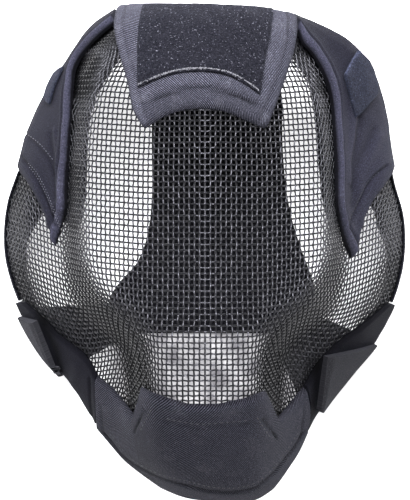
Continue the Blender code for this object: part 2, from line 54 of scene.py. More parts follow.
WIRE_PITCH = 2.9         # from wire to wire of the weave
WIRE_RADIUS = 0.46
WIRE_WALL = 1.8          # two crossing wires
SEAT_GAP = 0.8           # cloth to wire shell, and cloth to cloth
CUP_GAP = 1.1            # the stiff chin cup bears less closely on the wires
PAD_THICKNESS = 4.0      # forehead pad, in its middle
PAD_EDGE_WIDTH = 10.0    # over which it thins to its hems
PAD_STRIP_WIDTH = 5.2    # the strips that bind its two sides
HEM_THICKNESS = 2.6
THIN_HEM = 1.4           # of the pad at the crown and the cup at the chin
BAND_THICKNESS = 3.2
BAND_ROLL = 4.6          # thickest part of the rolled hem at a band's inner edge
BAND_HEM = 1.9
BAND_ROLL_WIDTH = 9.0
BAND_ROLL_CREST = 3.2    # from that edge to the roll's thickest line
BAND_ROLL_LIT = 3.6      # to the line where the roll is painted lightest, as painted highlight
BAND_SEWN_AT = 8.0       # to the row that holds the roll down
BAND_PUFF_AT = 11.5      # and to the swelling behind that row
JAW_THICKNESS = 2.4
CUP_THICKNESS = 2.8
LOOP_THICKNESS = 1.6
LOOP_GAP = 0.8
EDGE_WIDTH = 3.0         # over which a sheet thins to its free edge
BINDING_GAP = 0.4
BINDING_THICKNESS = 0.8
BINDING_WIDTH = 5.0
BINDING_PLAN = 0.4       # how much of the tape shows in front of the rim
PANEL_THICKNESS = 2.0
STRAP_THICKNESS = 1.8
HEM_RETURN = 11.0        # how far a folded hem reaches back inside
HEM_END_SHARE = 0.45     # part of that reach left at the two ends of a hem
HEM_END_RUN = 14.0       # over which it grows to the whole

Section = namedtuple(
    "Section",
    "y centre keel_z cheek_x cheek_z wall_x wall_z foot_x foot_z ear_x ear_z rim_x rim_z right_reach")
# Heights of the face from its middle line out to the rim, row by row from the chin to the crown.
SECTIONS = [
    Section(-144, 8, 10, 8, 9, 14, 8, 18, 7, 21, 6, 27, 2, 1.00),
    Section(-128, 8, 78, 13, 76, 18, 70, 21, 62, 24, 54, 27, 46, 1.00),
    Section(-120, 6, 92, 16, 88, 22, 79, 28, 66, 32, 55, 36, 43, 1.00),
    Section(-110, 2, 104, 20, 98, 27, 87, 35, 66, 40, 52, 46, 38, 1.00),
    Section(-90, 0, 122, 24, 115, 30, 103, 43, 66, 54, 44, 61, 29, 1.00),
    Section(-70, 0, 134, 24, 128, 30, 115, 41, 69, 68, 34, 78, 18, 1.00),
    Section(-50, 0, 142, 24, 134, 31, 121, 45, 66, 81, 31, 93.5, 10, 1.00),
    Section(-40, 0, 144, 26, 134, 38, 117, 58, 61, 86, 32, 99, 8, 1.00),
    Section(-30, 0, 145, 30, 132, 48, 114, 71, 58, 91, 33, 104, 6, 1.00),
    Section(-18, 0, 143.5, 33, 128, 57, 110, 74, 57, 95, 34, 108.5, 5.5, 1.00),
    Section(-5, 0, 142, 35, 125, 63, 106, 75, 57, 98, 35, 111.5, 5.5, 1.00),
    Section(25, 0, 138, 35, 121, 64, 102, 75, 57, 98, 35, 110.5, 6, 1.00),
    Section(60, 0, 130, 33, 114, 63, 97, 73, 60, 88, 37, 99.5, 12, 1.03),
    Section(90, 0, 118, 30, 107, 58, 93, 66, 70, 75, 46, 85, 22, 1.14),
    Section(112, 0, 104, 26, 98, 51, 84, 57, 67, 62, 50, 68, 32, 1.25),
    Section(123, 0, 90, 24, 87, 42, 76, 48, 62, 52, 50, 59, 38, 1.22),
    Section(131, 0, 62, 22, 60, 35, 56, 41, 50, 45, 44, 49, 38, 1.00),
    Section(145, 0, 8, 20, 6, 32, 2, 40, -4, 45, -10, 49, -16, 1.00),
]
# How softly the press rounds the creases between those heights, up the face and across it.
PRESS_RADIUS_UP = 5.0
PRESS_RADIUS_ACROSS = 3.5
GRID_STEP = 1.0
GRID_X = np.arange(-150.0, 150.5, GRID_STEP)
GRID_Y = np.arange(-180.0, 180.5, GRID_STEP)

# The rim seen from the front: its sides from the chin up, its ends from left to right.
LEFT_RIM = [(-22, -125.3), (-32.5, -119.7), (-41, -112.8), (-56.5, -95.5), (-69.5, -74), (-86.5, -57),
            (-98.5, -38.5), (-107.4, -19), (-112.2, 2), (-110, 27), (-102.8, 46), (-96.5, 65),
            (-84.8, 88), (-75, 102), (-68.4, 111.6), (-61, 120), (-45.5, 130)]
RIGHT_RIM = [(34, -126), (45.5, -112), (59, -88), (76.5, -67), (95.5, -45.5), (105, -28),
             (111, -5), (111, 17), (104.5, 38), (101.5, 52), (99, 72), (94.5, 88), (87.5, 101.5), (78, 110),
             (64.5, 117.5), (44, 125)]
CHIN_RIM = [(-22, -125.3), (-10, -127.8), (0, -129.2), (14, -131.4), (26, -130.4), (34, -126)]
CROWN_RIM = [(-45.5, 130), (-36, 129.6), (-20, 128.2), (10, 127.2), (30, 126.4), (44, 125)]


# ---------------------------------------------------------------------------- curves

def lengths_along(points):
    """Distance of each point from the first, measured along the line through them."""
    steps = np.linalg.norm(np.diff(points, axis=0), axis=1)
    return np.concatenate([[0.0], np.cumsum(steps)])


def smooth_values(knots, values, wanted):
    """Cubic through the values at the knots, with a slope at each from its neighbours."""
    knots = np.asarray(knots, float)
    values = np.asarray(values, float)
    slopes = np.gradient(values, knots, axis=0)
    span = np.clip(np.searchsorted(knots, wanted, side="right") - 1, 0, len(knots) - 2)
    width = knots[span + 1] - knots[span]
    part = (wanted - knots[span]) / width
    width, part = width[:, None], part[:, None]
    from_start = (1 + 2 * part) * (1 - part) ** 2 * values[span]
    from_start += part * (1 - part) ** 2 * width * slopes[span]
    from_end = part ** 2 * (3 - 2 * part) * values[span + 1]
    from_end += part ** 2 * (part - 1) * width * slopes[span + 1]
    return from_start + from_end


def smooth_curve(points, count):
    """`count` points, evenly spaced, on a smooth curve through the given ones."""
    points = np.asarray(points, float)
    knots = lengths_along(points)
    fine = smooth_values(knots, points, np.linspace(0, knots[-1], 20 * len(points)))
    return even_points(fine, count)


def points_at(points, shares):
    """Points on straight runs through the given ones, at shares of the whole length."""
    points = np.asarray(points, float)
    knots = lengths_along(points)
    return np.stack([np.interp(shares * knots[-1], knots, column) for column in points.T], axis=1)


def even_points(points, count):
    """`count` points, evenly spaced, on straight runs through the given ones."""
    return points_at(points, np.linspace(0, 1, count))


def straight_runs(points, pieces):
    """Every given point, with each run between two of them cut into `pieces`."""
    runs = [np.linspace(a, b, pieces, endpoint=False) for a, b in zip(points[:-1], points[1:])]
    return np.concatenate(runs + [np.asarray(points[-1:], float)])


def curved_between(start, leave, arrive, end, part):
    """Point on a curve that leaves `start` towards `leave` and arrives at `end` from `arrive`."""
    rest = 1 - part
    return (rest ** 3 * start + 3 * part * rest ** 2 * leave + 3 * part ** 2 * rest * arrive
            + part ** 3 * end)


def rim_between(rim, start_y, end_y, count):
    """Evenly spaced points of a side rim from one height on the face to another."""
    fine = smooth_curve(rim, 400)
    keep = (fine[:, 1] >= min(start_y, end_y)) & (fine[:, 1] <= max(start_y, end_y))
    part = even_points(fine[keep], count)
    return part if start_y < end_y else part[::-1]


def four_sided_patch(first_end, last_end, inner, outer):
    """Grid of points between four edge curves that share their corners."""
    rows, columns = len(inner), len(first_end)
    along = np.linspace(0, 1, rows)[:, None, None]
    across = np.linspace(0, 1, columns)[None, :, None]
    between_sides = (1 - across) * inner[:, None] + across * outer[:, None]
    between_ends = (1 - along) * first_end[None] + along * last_end[None]
    corners = (1 - along) * ((1 - across) * inner[0] + across * outer[0])
    corners = corners + along * ((1 - across) * inner[-1] + across * outer[-1])
    return between_sides + between_ends - corners


def from_line(points, line):
    """Distance of plane points from a line through the given ones."""
    line = np.asarray(line, float)
    nearest = np.full(points.shape[:-1], np.inf)
    for a, b in zip(line[:-1], line[1:]):
        run = b - a
        part = np.clip(((points - a) @ run) / (run @ run), 0, 1)
        gap = points - a - part[..., None] * run
        nearest = np.minimum(nearest, np.linalg.norm(gap, axis=-1))
    return nearest


def swell(distance, crest, width, power=2):
    """1 at the crest, fading to nothing over about twice the width on each side of it."""
    return np.exp(-((distance - crest) / width) ** power)


# A line where the cloth dips by depth and is painted darker by dark: dirt and painted shade in seams,
# painted shadow beside raised parts; with both below zero, a fold's ridge painted lighter as painted
# highlight.
Seam = namedtuple("Seam", "line depth width dark")


def seams_relief(points, seams):
    """How far sewn lines pull the cloth down; a fold's ridge has a depth below zero."""
    height = np.zeros(points.shape[:-1])
    for seam in seams:
        height -= seam.depth * swell(from_line(points, seam.line), 0, seam.width)
    return height


def seams_shade(points, seams):
    """Painted shade of the cloth: less than 1 in seams, where dirt and painted shadow gather, and beside
    raised parts; more than 1 along fold ridges, as painted highlight.
    """
    shade = np.ones(points.shape[:-1])
    for seam in seams:
        shade *= 1 - seam.dark * swell(from_line(points, seam.line), 0, seam.width)
    return shade


def unevenness(points, size, seed):
    """Gentle random dents in the range -1 to 1, about `size` millimetres across."""
    random = np.random.default_rng(seed)
    total = np.zeros(points.shape[:-1])
    for _ in range(7):
        heading = random.uniform(0, 2 * np.pi)
        along = points[..., 0] * np.cos(heading) + points[..., 1] * np.sin(heading)
        wave_length = size * random.uniform(1.3, 2.8)
        total += np.sin(along * 2 * np.pi / wave_length + random.uniform(0, 6.3))
    return total / 4


# ---------------------------------------------------------------------------- wire shell

def section_heights(y):
    """Heights across the face at one y, from the section table."""
    table = np.array(SECTIONS, float)
    inside = np.clip(y, table[0, 0], table[-1, 0])
    section = Section(*[np.interp(inside, table[:, 0], column) for column in table.T])
    knots = np.array([0, section.cheek_x, section.wall_x, section.foot_x, section.ear_x, section.rim_x])
    heights = [section.keel_z, section.cheek_z, section.wall_z, section.foot_z, section.ear_z,
               section.rim_z]
    rim_slope = (heights[-1] - heights[-2]) / (knots[-1] - knots[-2])
    beyond = 60.0            # the shell's surface goes on this far past the rim, for cloth to follow
    heights = np.array(heights + [section.rim_z + beyond * rim_slope])
    reach = np.array([1, 1, 1, 1, section.right_reach, section.right_reach])
    left_knots = np.append(knots, knots[-1] + beyond)
    right_knots = np.append(knots * reach, knots[-1] * section.right_reach + beyond)
    x = GRID_X - section.centre
    return np.where(x < 0, np.interp(-x, left_knots, heights), np.interp(x, right_knots, heights))


def rounded(heights):
    """The same heights with their creases rounded to the press radii."""
    for axis, radius in ((0, PRESS_RADIUS_UP), (1, PRESS_RADIUS_ACROSS)):
        reach = int(3 * radius / GRID_STEP)
        offsets = np.arange(-reach, reach + 1) * GRID_STEP
        weights = np.exp(-0.5 * (offsets / radius) ** 2)
        weights /= weights.sum()
        heights = np.apply_along_axis(
            lambda line: np.convolve(np.pad(line, reach, mode="edge"), weights, "valid"), axis, heights)
    return heights


HEIGHTS = rounded(np.array([section_heights(y) for y in GRID_Y]))
SLOPES_Y, SLOPES_X = np.gradient(HEIGHTS, GRID_STEP)


def read_grid(values, points):
    """Values of a grid over the plane at given points, between its crossings."""
    column = np.clip((points[..., 0] - GRID_X[0]) / GRID_STEP, 0, len(GRID_X) - 1.001)
    row = np.clip((points[..., 1] - GRID_Y[0]) / GRID_STEP, 0, len(GRID_Y) - 1.001)
    i, j = column.astype(int), row.astype(int)
    u, v = column - i, row - j
    near = values[j, i] * (1 - u) + values[j, i + 1] * u
    far = values[j + 1, i] * (1 - u) + values[j + 1, i + 1] * u
    return near * (1 - v) + far * v


def on_shell(points):
    """Points of the plane lifted to the shell's outer face, and the face's normals there."""
    lifted = np.concatenate([points, read_grid(HEIGHTS, points)[..., None]], axis=-1)
    normals = np.stack([-read_grid(SLOPES_X, points), -read_grid(SLOPES_Y, points),
                        np.ones(points.shape[:-1])], axis=-1)
    return lifted, normals / np.linalg.norm(normals, axis=-1, keepdims=True)


def shell_path(points, count):
    """`count` points of the plane, evenly spaced as measured on the shell above them."""
    fine = even_points(points, 240)
    walked = lengths_along(on_shell(fine)[0])
    wanted = np.linspace(0, walked[-1], count)
    return np.stack([np.interp(wanted, walked, column) for column in fine.T], axis=1)


# ---------------------------------------------------------------------------- materials

def start_material(name):
    material = bpy.data.materials.new(name)
    material.use_nodes = True
    return material, material.node_tree.nodes, material.node_tree.links


def add_node(nodes, kind, **settings):
    """New node whose plain settings and numbered or named inputs are given."""
    node = nodes.new(kind)
    for key, value in settings.items():
        if key.startswith("in_"):
            node.inputs[key[3:].replace("_", " ")].default_value = value
        else:
            setattr(node, key, value)
    return node


def shade_range(nodes, low, high, dark, light):
    """Colour ramp from dark at `low` to light at `high`."""
    ramp = nodes.new("ShaderNodeValToRGB")
    ramp.color_ramp.elements[0].position = low
    ramp.color_ramp.elements[0].color = (*dark, 1)
    ramp.color_ramp.elements[1].position = high
    ramp.color_ramp.elements[1].color = (*light, 1)
    return ramp


def bands_per_metre(pitch):
    """Scale that gives a wave texture's bands this pitch in millimetres."""
    return 2 * np.pi / (20 * pitch * MM)


def raise_surface(nodes, links, shader, height, strength, depth):
    """Relief of the surface by a texture's value, up to `depth` millimetres."""
    bump = add_node(nodes, "ShaderNodeBump", in_Strength=strength, in_Distance=depth * MM)
    links.new(height, bump.inputs["Height"])
    links.new(bump.outputs["Normal"], shader.inputs["Normal"])


def set_inputs(shader, **values):
    """Plain values for a shader node's named inputs."""
    for key, value in values.items():
        shader.inputs[key.replace("_", " ")].default_value = value


def cloth_uv(nodes, links, turn):
    """The cloth's own lengths, turned so that a weave runs at an angle to its edges."""
    lengths = nodes.new("ShaderNodeUVMap")
    lengths.uv_map = "cloth_lengths"
    turned = add_node(nodes, "ShaderNodeMapping", in_Rotation=(0, 0, np.radians(turn)))
    links.new(lengths.outputs["UV"], turned.inputs["Vector"])
    return turned.outputs["Vector"]


def shaded(nodes, links, colour, place):
    """The colour with the grain and flecks of wear of its yarns, scaled by the painted light and shade that
    the cloth carries.
    """
    grain = add_node(nodes, "ShaderNodeTexNoise", in_Scale=1000.0, in_Detail=2.0, in_Roughness=0.7)
    links.new(place, grain.inputs["Vector"])
    tone = add_node(nodes, "ShaderNodeMapRange", in_From_Min=0.3, in_From_Max=0.7, in_To_Min=0.5,
                    in_To_Max=1.5)
    links.new(grain.outputs["Fac"], tone.inputs["Value"])
    flecks = add_node(nodes, "ShaderNodeTexNoise", in_Scale=1700.0, in_Detail=1.0, in_Roughness=0.5)
    links.new(place, flecks.inputs["Vector"])
    wear_and_painted_light = add_node(nodes, "ShaderNodeMapRange", in_From_Min=0.60, in_From_Max=0.78, in_To_Min=0.0,
                    in_To_Max=2.6)
    links.new(flecks.outputs["Fac"], wear_and_painted_light.inputs["Value"])
    carried = add_node(nodes, "ShaderNodeAttribute", attribute_name="shade")
    grains = add_node(nodes, "ShaderNodeMath", operation="ADD")
    links.new(tone.outputs["Result"], grains.inputs[0])
    links.new(wear_and_painted_light.outputs["Result"], grains.inputs[1])
    both = add_node(nodes, "ShaderNodeMath", operation="MULTIPLY")
    links.new(grains.outputs[0], both.inputs[0])
    links.new(carried.outputs["Fac"], both.inputs[1])
    scaled = add_node(nodes, "ShaderNodeVectorMath", operation="SCALE")
    links.new(colour, scaled.inputs[0])
    links.new(both.outputs[0], scaled.inputs["Scale"])
    return scaled.outputs[0]


def woven_cloth(name, turn, pitch, yarn_share, groove, ridge, faded, relief, roughness, sheen):
    """Twill or plain weave: ridges at one pitch, broken into yarns, with faded patches."""
    material, nodes, links = start_material(name)
    shader = nodes["Principled BSDF"]
    place = cloth_uv(nodes, links, turn)
    ridges = add_node(nodes, "ShaderNodeTexWave", in_Scale=bands_per_metre(pitch),
                      in_Distortion=0.7, in_Detail=1.0, in_Detail_Scale=1.4)
    yarns = add_node(nodes, "ShaderNodeTexWave", bands_direction="Y",
                     in_Scale=bands_per_metre(pitch * 0.62), in_Distortion=0.9, in_Detail=1.0)
    mottle = add_node(nodes, "ShaderNodeTexNoise", in_Scale=85.0, in_Detail=5.0, in_Roughness=0.65)
    for texture in (ridges, yarns, mottle):
        links.new(place, texture.inputs["Vector"])
    weave = add_node(nodes, "ShaderNodeMath", operation="MULTIPLY_ADD")
    weave.inputs[1].default_value = yarn_share     # of the yarns, added to the ridges
    links.new(yarns.outputs["Fac"], weave.inputs[0])
    links.new(ridges.outputs["Fac"], weave.inputs[2])
    base = shade_range(nodes, 0.15, 0.85 + yarn_share, groove, ridge)
    links.new(weave.outputs[0], base.inputs["Fac"])
    fading = shade_range(nodes, 0.52, 0.72, (0, 0, 0), (1, 1, 1))
    links.new(mottle.outputs["Fac"], fading.inputs["Fac"])
    colour = add_node(nodes, "ShaderNodeMix", data_type="RGBA")
    colour.inputs[7].default_value = (*faded, 1)
    strength = add_node(nodes, "ShaderNodeMath", operation="MULTIPLY")
    strength.inputs[1].default_value = 0.4
    links.new(fading.outputs["Color"], strength.inputs[0])
    links.new(strength.outputs[0], colour.inputs["Factor"])
    links.new(base.outputs["Color"], colour.inputs[6])
    links.new(shaded(nodes, links, colour.outputs[2], place), shader.inputs["Base Color"])
    wear_and_painted_light = add_node(nodes, "ShaderNodeMapRange", in_To_Min=roughness - 0.08, in_To_Max=roughness + 0.08)
    links.new(mottle.outputs["Fac"], wear_and_painted_light.inputs["Value"])
    links.new(wear_and_painted_light.outputs["Result"], shader.inputs["Roughness"])
    raise_surface(nodes, links, shader, weave.outputs[0], relief, 0.3)
    set_inputs(shader, Sheen_Weight=sheen, Sheen_Roughness=0.45, Sheen_Tint=(0.72, 0.74, 0.95, 1),
                Specular_IOR_Level=0.04)
    return material


def loop_pile(name, dark, light, painted_glint, painted_glint_from, relief):
    """Hook-and-loop pile: matted fibres, with painted glints where a few of them catch the light."""
    material, nodes, links = start_material(name)
    shader = nodes["Principled BSDF"]
    place = nodes.new("ShaderNodeTexCoord").outputs["Object"]
    fibres = add_node(nodes, "ShaderNodeTexNoise", in_Scale=900.0, in_Detail=4.0, in_Roughness=0.7)
    glints = add_node(nodes, "ShaderNodeTexNoise", in_Scale=1150.0, in_Detail=1.0, in_Roughness=0.5)
    matting = add_node(nodes, "ShaderNodeTexNoise", in_Scale=130.0, in_Detail=4.0)
    for texture in (fibres, glints, matting):
        links.new(place, texture.inputs["Vector"])
    base = shade_range(nodes, 0.32, 0.72, dark, light)
    links.new(fibres.outputs["Fac"], base.inputs["Fac"])
    # Painted glints: a few specks of the colour are painted light.
    shine = shade_range(nodes, painted_glint_from, painted_glint_from + 0.07, (0, 0, 0), (1, 1, 1))
    links.new(glints.outputs["Fac"], shine.inputs["Fac"])
    colour = add_node(nodes, "ShaderNodeMix", data_type="RGBA")
    colour.inputs[7].default_value = (*painted_glint, 1)
    links.new(shine.outputs["Color"], colour.inputs["Factor"])
    links.new(base.outputs["Color"], colour.inputs[6])
    links.new(shaded(nodes, links, colour.outputs[2], place), shader.inputs["Base Color"])
    mixed = add_node(nodes, "ShaderNodeMath", operation="ADD")
    links.new(fibres.outputs["Fac"], mixed.inputs[0])
    links.new(matting.outputs["Fac"], mixed.inputs[1])
    raise_surface(nodes, links, shader, mixed.outputs[0], relief, 0.8)
    set_inputs(shader, Roughness=0.95, Sheen_Weight=0.05, Sheen_Roughness=0.5,
                Sheen_Tint=(0.75, 0.78, 1.0, 1), Specular_IOR_Level=0.05)
    return material


def painted_wire(name):
    """Black paint on steel wire, brighter where it has rubbed, and painted lighter where the shell faces
    up, as painted light.
    """
    material, nodes, links = start_material(name)
    shader = nodes["Principled BSDF"]
    place = nodes.new("ShaderNodeTexCoord").outputs["Object"]
    rubbed = add_node(nodes, "ShaderNodeTexNoise", in_Scale=260.0, in_Detail=4.0, in_Roughness=0.6)
    grain = add_node(nodes, "ShaderNodeTexNoise", in_Scale=2600.0, in_Detail=2.0)
    links.new(place, rubbed.inputs["Vector"])
    links.new(place, grain.inputs["Vector"])
    paint = shade_range(nodes, 0.4, 0.75, (0.034, 0.034, 0.040), (0.072, 0.072, 0.083))
    links.new(rubbed.outputs["Fac"], paint.inputs["Fac"])
    # Painted light: the paint is scaled by how far the shell faces up under it.
    painted_light_by_facing = add_node(nodes, "ShaderNodeAttribute", attribute_name="painted_light_by_facing")
    wear_and_painted_light = add_node(nodes, "ShaderNodeVectorMath", operation="SCALE")
    links.new(paint.outputs["Color"], wear_and_painted_light.inputs[0])
    links.new(painted_light_by_facing.outputs["Fac"], wear_and_painted_light.inputs["Scale"])
    links.new(wear_and_painted_light.outputs[0], shader.inputs["Base Color"])
    gloss = add_node(nodes, "ShaderNodeMapRange", in_To_Min=0.28, in_To_Max=0.42)
    links.new(rubbed.outputs["Fac"], gloss.inputs["Value"])
    links.new(gloss.outputs["Result"], shader.inputs["Roughness"])
    raise_surface(nodes, links, shader, grain.outputs["Fac"], 0.25, 0.1)
    set_inputs(shader, Metallic=0.9)
    return material


def sewing_thread(name, dark, light):
    """Twisted thread, painted lighter and darker from ply to ply as painted sheen."""
    material, nodes, links = start_material(name)
    shader = nodes["Principled BSDF"]
    place = nodes.new("ShaderNodeTexCoord").outputs["Object"]
    plies = add_node(nodes, "ShaderNodeTexNoise", in_Scale=1900.0, in_Detail=2.0)
    links.new(place, plies.inputs["Vector"])
    colour = shade_range(nodes, 0.35, 0.65, dark, light)
    links.new(plies.outputs["Fac"], colour.inputs["Fac"])
    links.new(colour.outputs["Color"], shader.inputs["Base Color"])
    raise_surface(nodes, links, shader, plies.outputs["Fac"], 0.4, 0.1)
    set_inputs(shader, Roughness=0.6)
    return material


BLACK_WIRE = painted_wire("black_painted_wire")
TWILL = woven_cloth(
    "black_twill", turn=-45, pitch=0.92, yarn_share=0.12, groove=(0.0, 0.0, 0.001),
    ridge=(0.047, 0.047, 0.063), faded=(0.055, 0.055, 0.068), relief=0.9, roughness=0.85, sheen=0.022)
SMOOTH_CLOTH = woven_cloth(
    "black_smooth_cloth", turn=0, pitch=0.5, yarn_share=0.45, groove=(0.010, 0.010, 0.016),
    ridge=(0.019, 0.019, 0.030), faded=(0.027, 0.027, 0.038), relief=0.35, roughness=0.80, sheen=0.018)
STRAP_CLOTH = woven_cloth(
    "black_strap_cloth", turn=0, pitch=0.6, yarn_share=0.45, groove=(0.009, 0.009, 0.011),
    ridge=(0.020, 0.020, 0.023), faded=(0.026, 0.026, 0.029), relief=0.4, roughness=0.85, sheen=0.03)
# A darker copy of the smooth cloth, as painted shade, for the head panel deep inside the mask.
PANEL_CLOTH_IN_PAINTED_SHADE = woven_cloth(
    "black_lining_cloth", turn=0, pitch=0.6, yarn_share=0.45, groove=(0.004, 0.004, 0.006),
    ridge=(0.010, 0.010, 0.013), faded=(0.009, 0.009, 0.012), relief=0.35, roughness=0.90, sheen=0.0)
TAPE = woven_cloth(
    "black_binding_tape", turn=90, pitch=0.8, yarn_share=0.45, groove=(0.005, 0.005, 0.007),
    ridge=(0.013, 0.013, 0.020), faded=(0.018, 0.018, 0.027), relief=0.8, roughness=0.85, sheen=0.02)
FOREHEAD_PILE = loop_pile(
    "black_loop_pile", dark=(0.003, 0.003, 0.005), light=(0.017, 0.017, 0.024),
    painted_glint=(0.16, 0.16, 0.20), painted_glint_from=0.68, relief=1.0)
SIDE_PILE = loop_pile(
    "blue_black_loop_pile", dark=(0.006, 0.007, 0.013), light=(0.018, 0.020, 0.033),
    painted_glint=(0.07, 0.08, 0.13), painted_glint_from=0.71, relief=0.7)
DARK_THREAD = sewing_thread("black_thread", (0.010, 0.010, 0.014), (0.035, 0.035, 0.045))
GREY_THREAD = sewing_thread("worn_grey_thread", (0.06, 0.06, 0.08), (0.22, 0.22, 0.27))
FRAYED_THREAD = sewing_thread("frayed_pale_thread", (0.05, 0.05, 0.06), (0.26, 0.26, 0.30))


# ---------------------------------------------------------------------------- making pieces

def select_none():
    bpy.ops.object.select_all(action="DESELECT")


def select_only(piece):
    select_none()
    piece.select_set(True)
    bpy.context.view_layer.objects.active = piece


def finish_piece(piece, name, material, slot, *nodes):
    """Names a piece, gives it its finish and lets it ride in place of its CAD nodes."""
    piece.name = name
    piece.data.name = name
    piece.data.materials.clear()
    piece.data.materials.append(material)
    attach(piece, "root")
    if nodes:
        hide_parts(*nodes)
    return piece


def apply_modifiers(piece):
    select_only(piece)
    for modifier in list(piece.modifiers):
        bpy.ops.object.modifier_apply(modifier=modifier.name)


def grid_laid_on(places, lengths, shade=None):
    """Grid primitive with its points moved into place, its cloth's own lengths and its painted light and
    shade.
    """
    rows, columns = places.shape[:2]
    select_none()
    bpy.ops.mesh.primitive_grid_add(x_subdivisions=columns - 1, y_subdivisions=rows - 1, size=0.1)
    piece = bpy.context.object
    mesh = piece.data
    mesh.vertices.foreach_set("co", ((places + LOWERED) * MM).astype(np.float32).ravel())
    corners = np.zeros(len(mesh.loops), np.int32)
    mesh.loops.foreach_get("vertex_index", corners)
    uv = mesh.uv_layers[0]
    uv.name = "cloth_lengths"
    uv.data.foreach_set("uv", (lengths.reshape(-1, 2)[corners] * MM).astype(np.float32).ravel())
    shades = np.ones((rows, columns)) if shade is None else shade
    carried = mesh.attributes.new("shade", "FLOAT", "POINT")
    carried.data.foreach_set("value", shades.astype(np.float32).ravel())
    mesh.update()
    return piece


def give_wall(piece, thickness, full_thickness, edge_round):
    """Thickens a laid grid on the side its faces point to, and rounds the cut edges."""
    fullness = piece.vertex_groups.new(name="fullness")
    for index, share in enumerate((thickness / full_thickness).ravel()):
        fullness.add([index], float(share), "REPLACE")
    wall = piece.modifiers.new("wall", "SOLIDIFY")
    wall.thickness = full_thickness * MM
    wall.offset = 1.0
    wall.vertex_group = "fullness"
    soft = piece.modifiers.new("soft_edge", "BEVEL")
    soft.width = edge_round * MM
    soft.segments = 3
    soft.limit_method = "ANGLE"
    soft.angle_limit = np.radians(58)
    apply_modifiers(piece)
    piece.vertex_groups.clear()
    bpy.ops.object.shade_smooth_by_angle(angle=np.radians(50))


def cut_size(places):
    """Width, length and area in metres that a laid grid was cut to."""
    across = np.linalg.norm(np.diff(places, axis=1), axis=-1).sum(axis=1)
    along = np.linalg.norm(np.diff(places, axis=0), axis=-1).sum(axis=0)
    sides = np.cross(places[1:, :-1] - places[:-1, :-1], places[:-1, 1:] - places[:-1, :-1])
    area = np.linalg.norm(sides, axis=-1).sum()
    width, length = across.max(), along.max()
    return (width * MM, length * MM), min(area, width * length) * MM ** 2


def own_lengths(places):
    """Distances over the cloth from its first corner, along its rows and across them."""
    across = np.linalg.norm(np.diff(places, axis=1), axis=-1)
    across = np.concatenate([np.zeros((len(places), 1)), np.cumsum(across, axis=1)], axis=1)
    middle = lengths_along(places[:, places.shape[1] // 3])
    along = np.repeat(middle[:, None], places.shape[1], axis=1)
    return np.stack([across, along], axis=-1)


HEM_TURN = np.radians(np.linspace(72, -72, 11))
RETURN_STOPS = 14        # places along a hem's or a lining's way back inside
HEM_SHADE = 0.75         # painted shade: share of its tone that a hem keeps inside the mask, under the wires
LINING_SHADE = 0.35      # and that a lining keeps, painted darker still
Hem = namedtuple("Hem", "thickness reach")


def away_from_face(edge):
    """Unit directions in the plane, square to an edge line and pointing away from the face."""
    headings = np.gradient(edge, axis=0)
    away = np.stack([headings[:, 1], -headings[:, 0]], axis=1)
    away /= np.linalg.norm(away, axis=1, keepdims=True)
    return away * np.sign((away * edge).sum(axis=1, keepdims=True))


def hem_reaches(edge, hem, free_end):
    """How far the hem reaches back inside at each point of its edge, less towards its ends."""
    if free_end:
        return np.full(len(edge), hem.reach)
    along = lengths_along(edge)
    from_end = np.minimum(along, along[-1] - along)
    return hem.reach * (HEM_END_SHARE + (1 - HEM_END_SHARE) * np.minimum(1.0, from_end / HEM_END_RUN))


def under_folded_rim(rim_point, outwards, inner_end, reach, lift):
    """Points under a hem from the shell's outer face, round its rim, back inside.

    The way back runs towards inner_end, for `reach` as measured on the shell or to its end.
    """
    points, normals = on_shell(np.linspace(rim_point, inner_end, 150))
    walked = lengths_along(points)
    edge, normal = points[0], normals[0]
    heading = edge - on_shell(rim_point - outwards * 0.3)[0]
    heading -= normal * heading.dot(normal)
    heading /= np.linalg.norm(heading)
    middle = edge - normal * WIRE_WALL / 2
    near = WIRE_WALL / 2 + lift
    under = [middle + (normal * np.sin(turn) + heading * np.cos(turn)) * near for turn in HEM_TURN]
    for back in np.linspace(0.08, 1.0, RETURN_STOPS):
        at = min(int(np.searchsorted(walked, back * min(reach, walked[-1]))), len(walked) - 1)
        under.append(points[at] - normals[at] * (WIRE_WALL + lift))
    return under


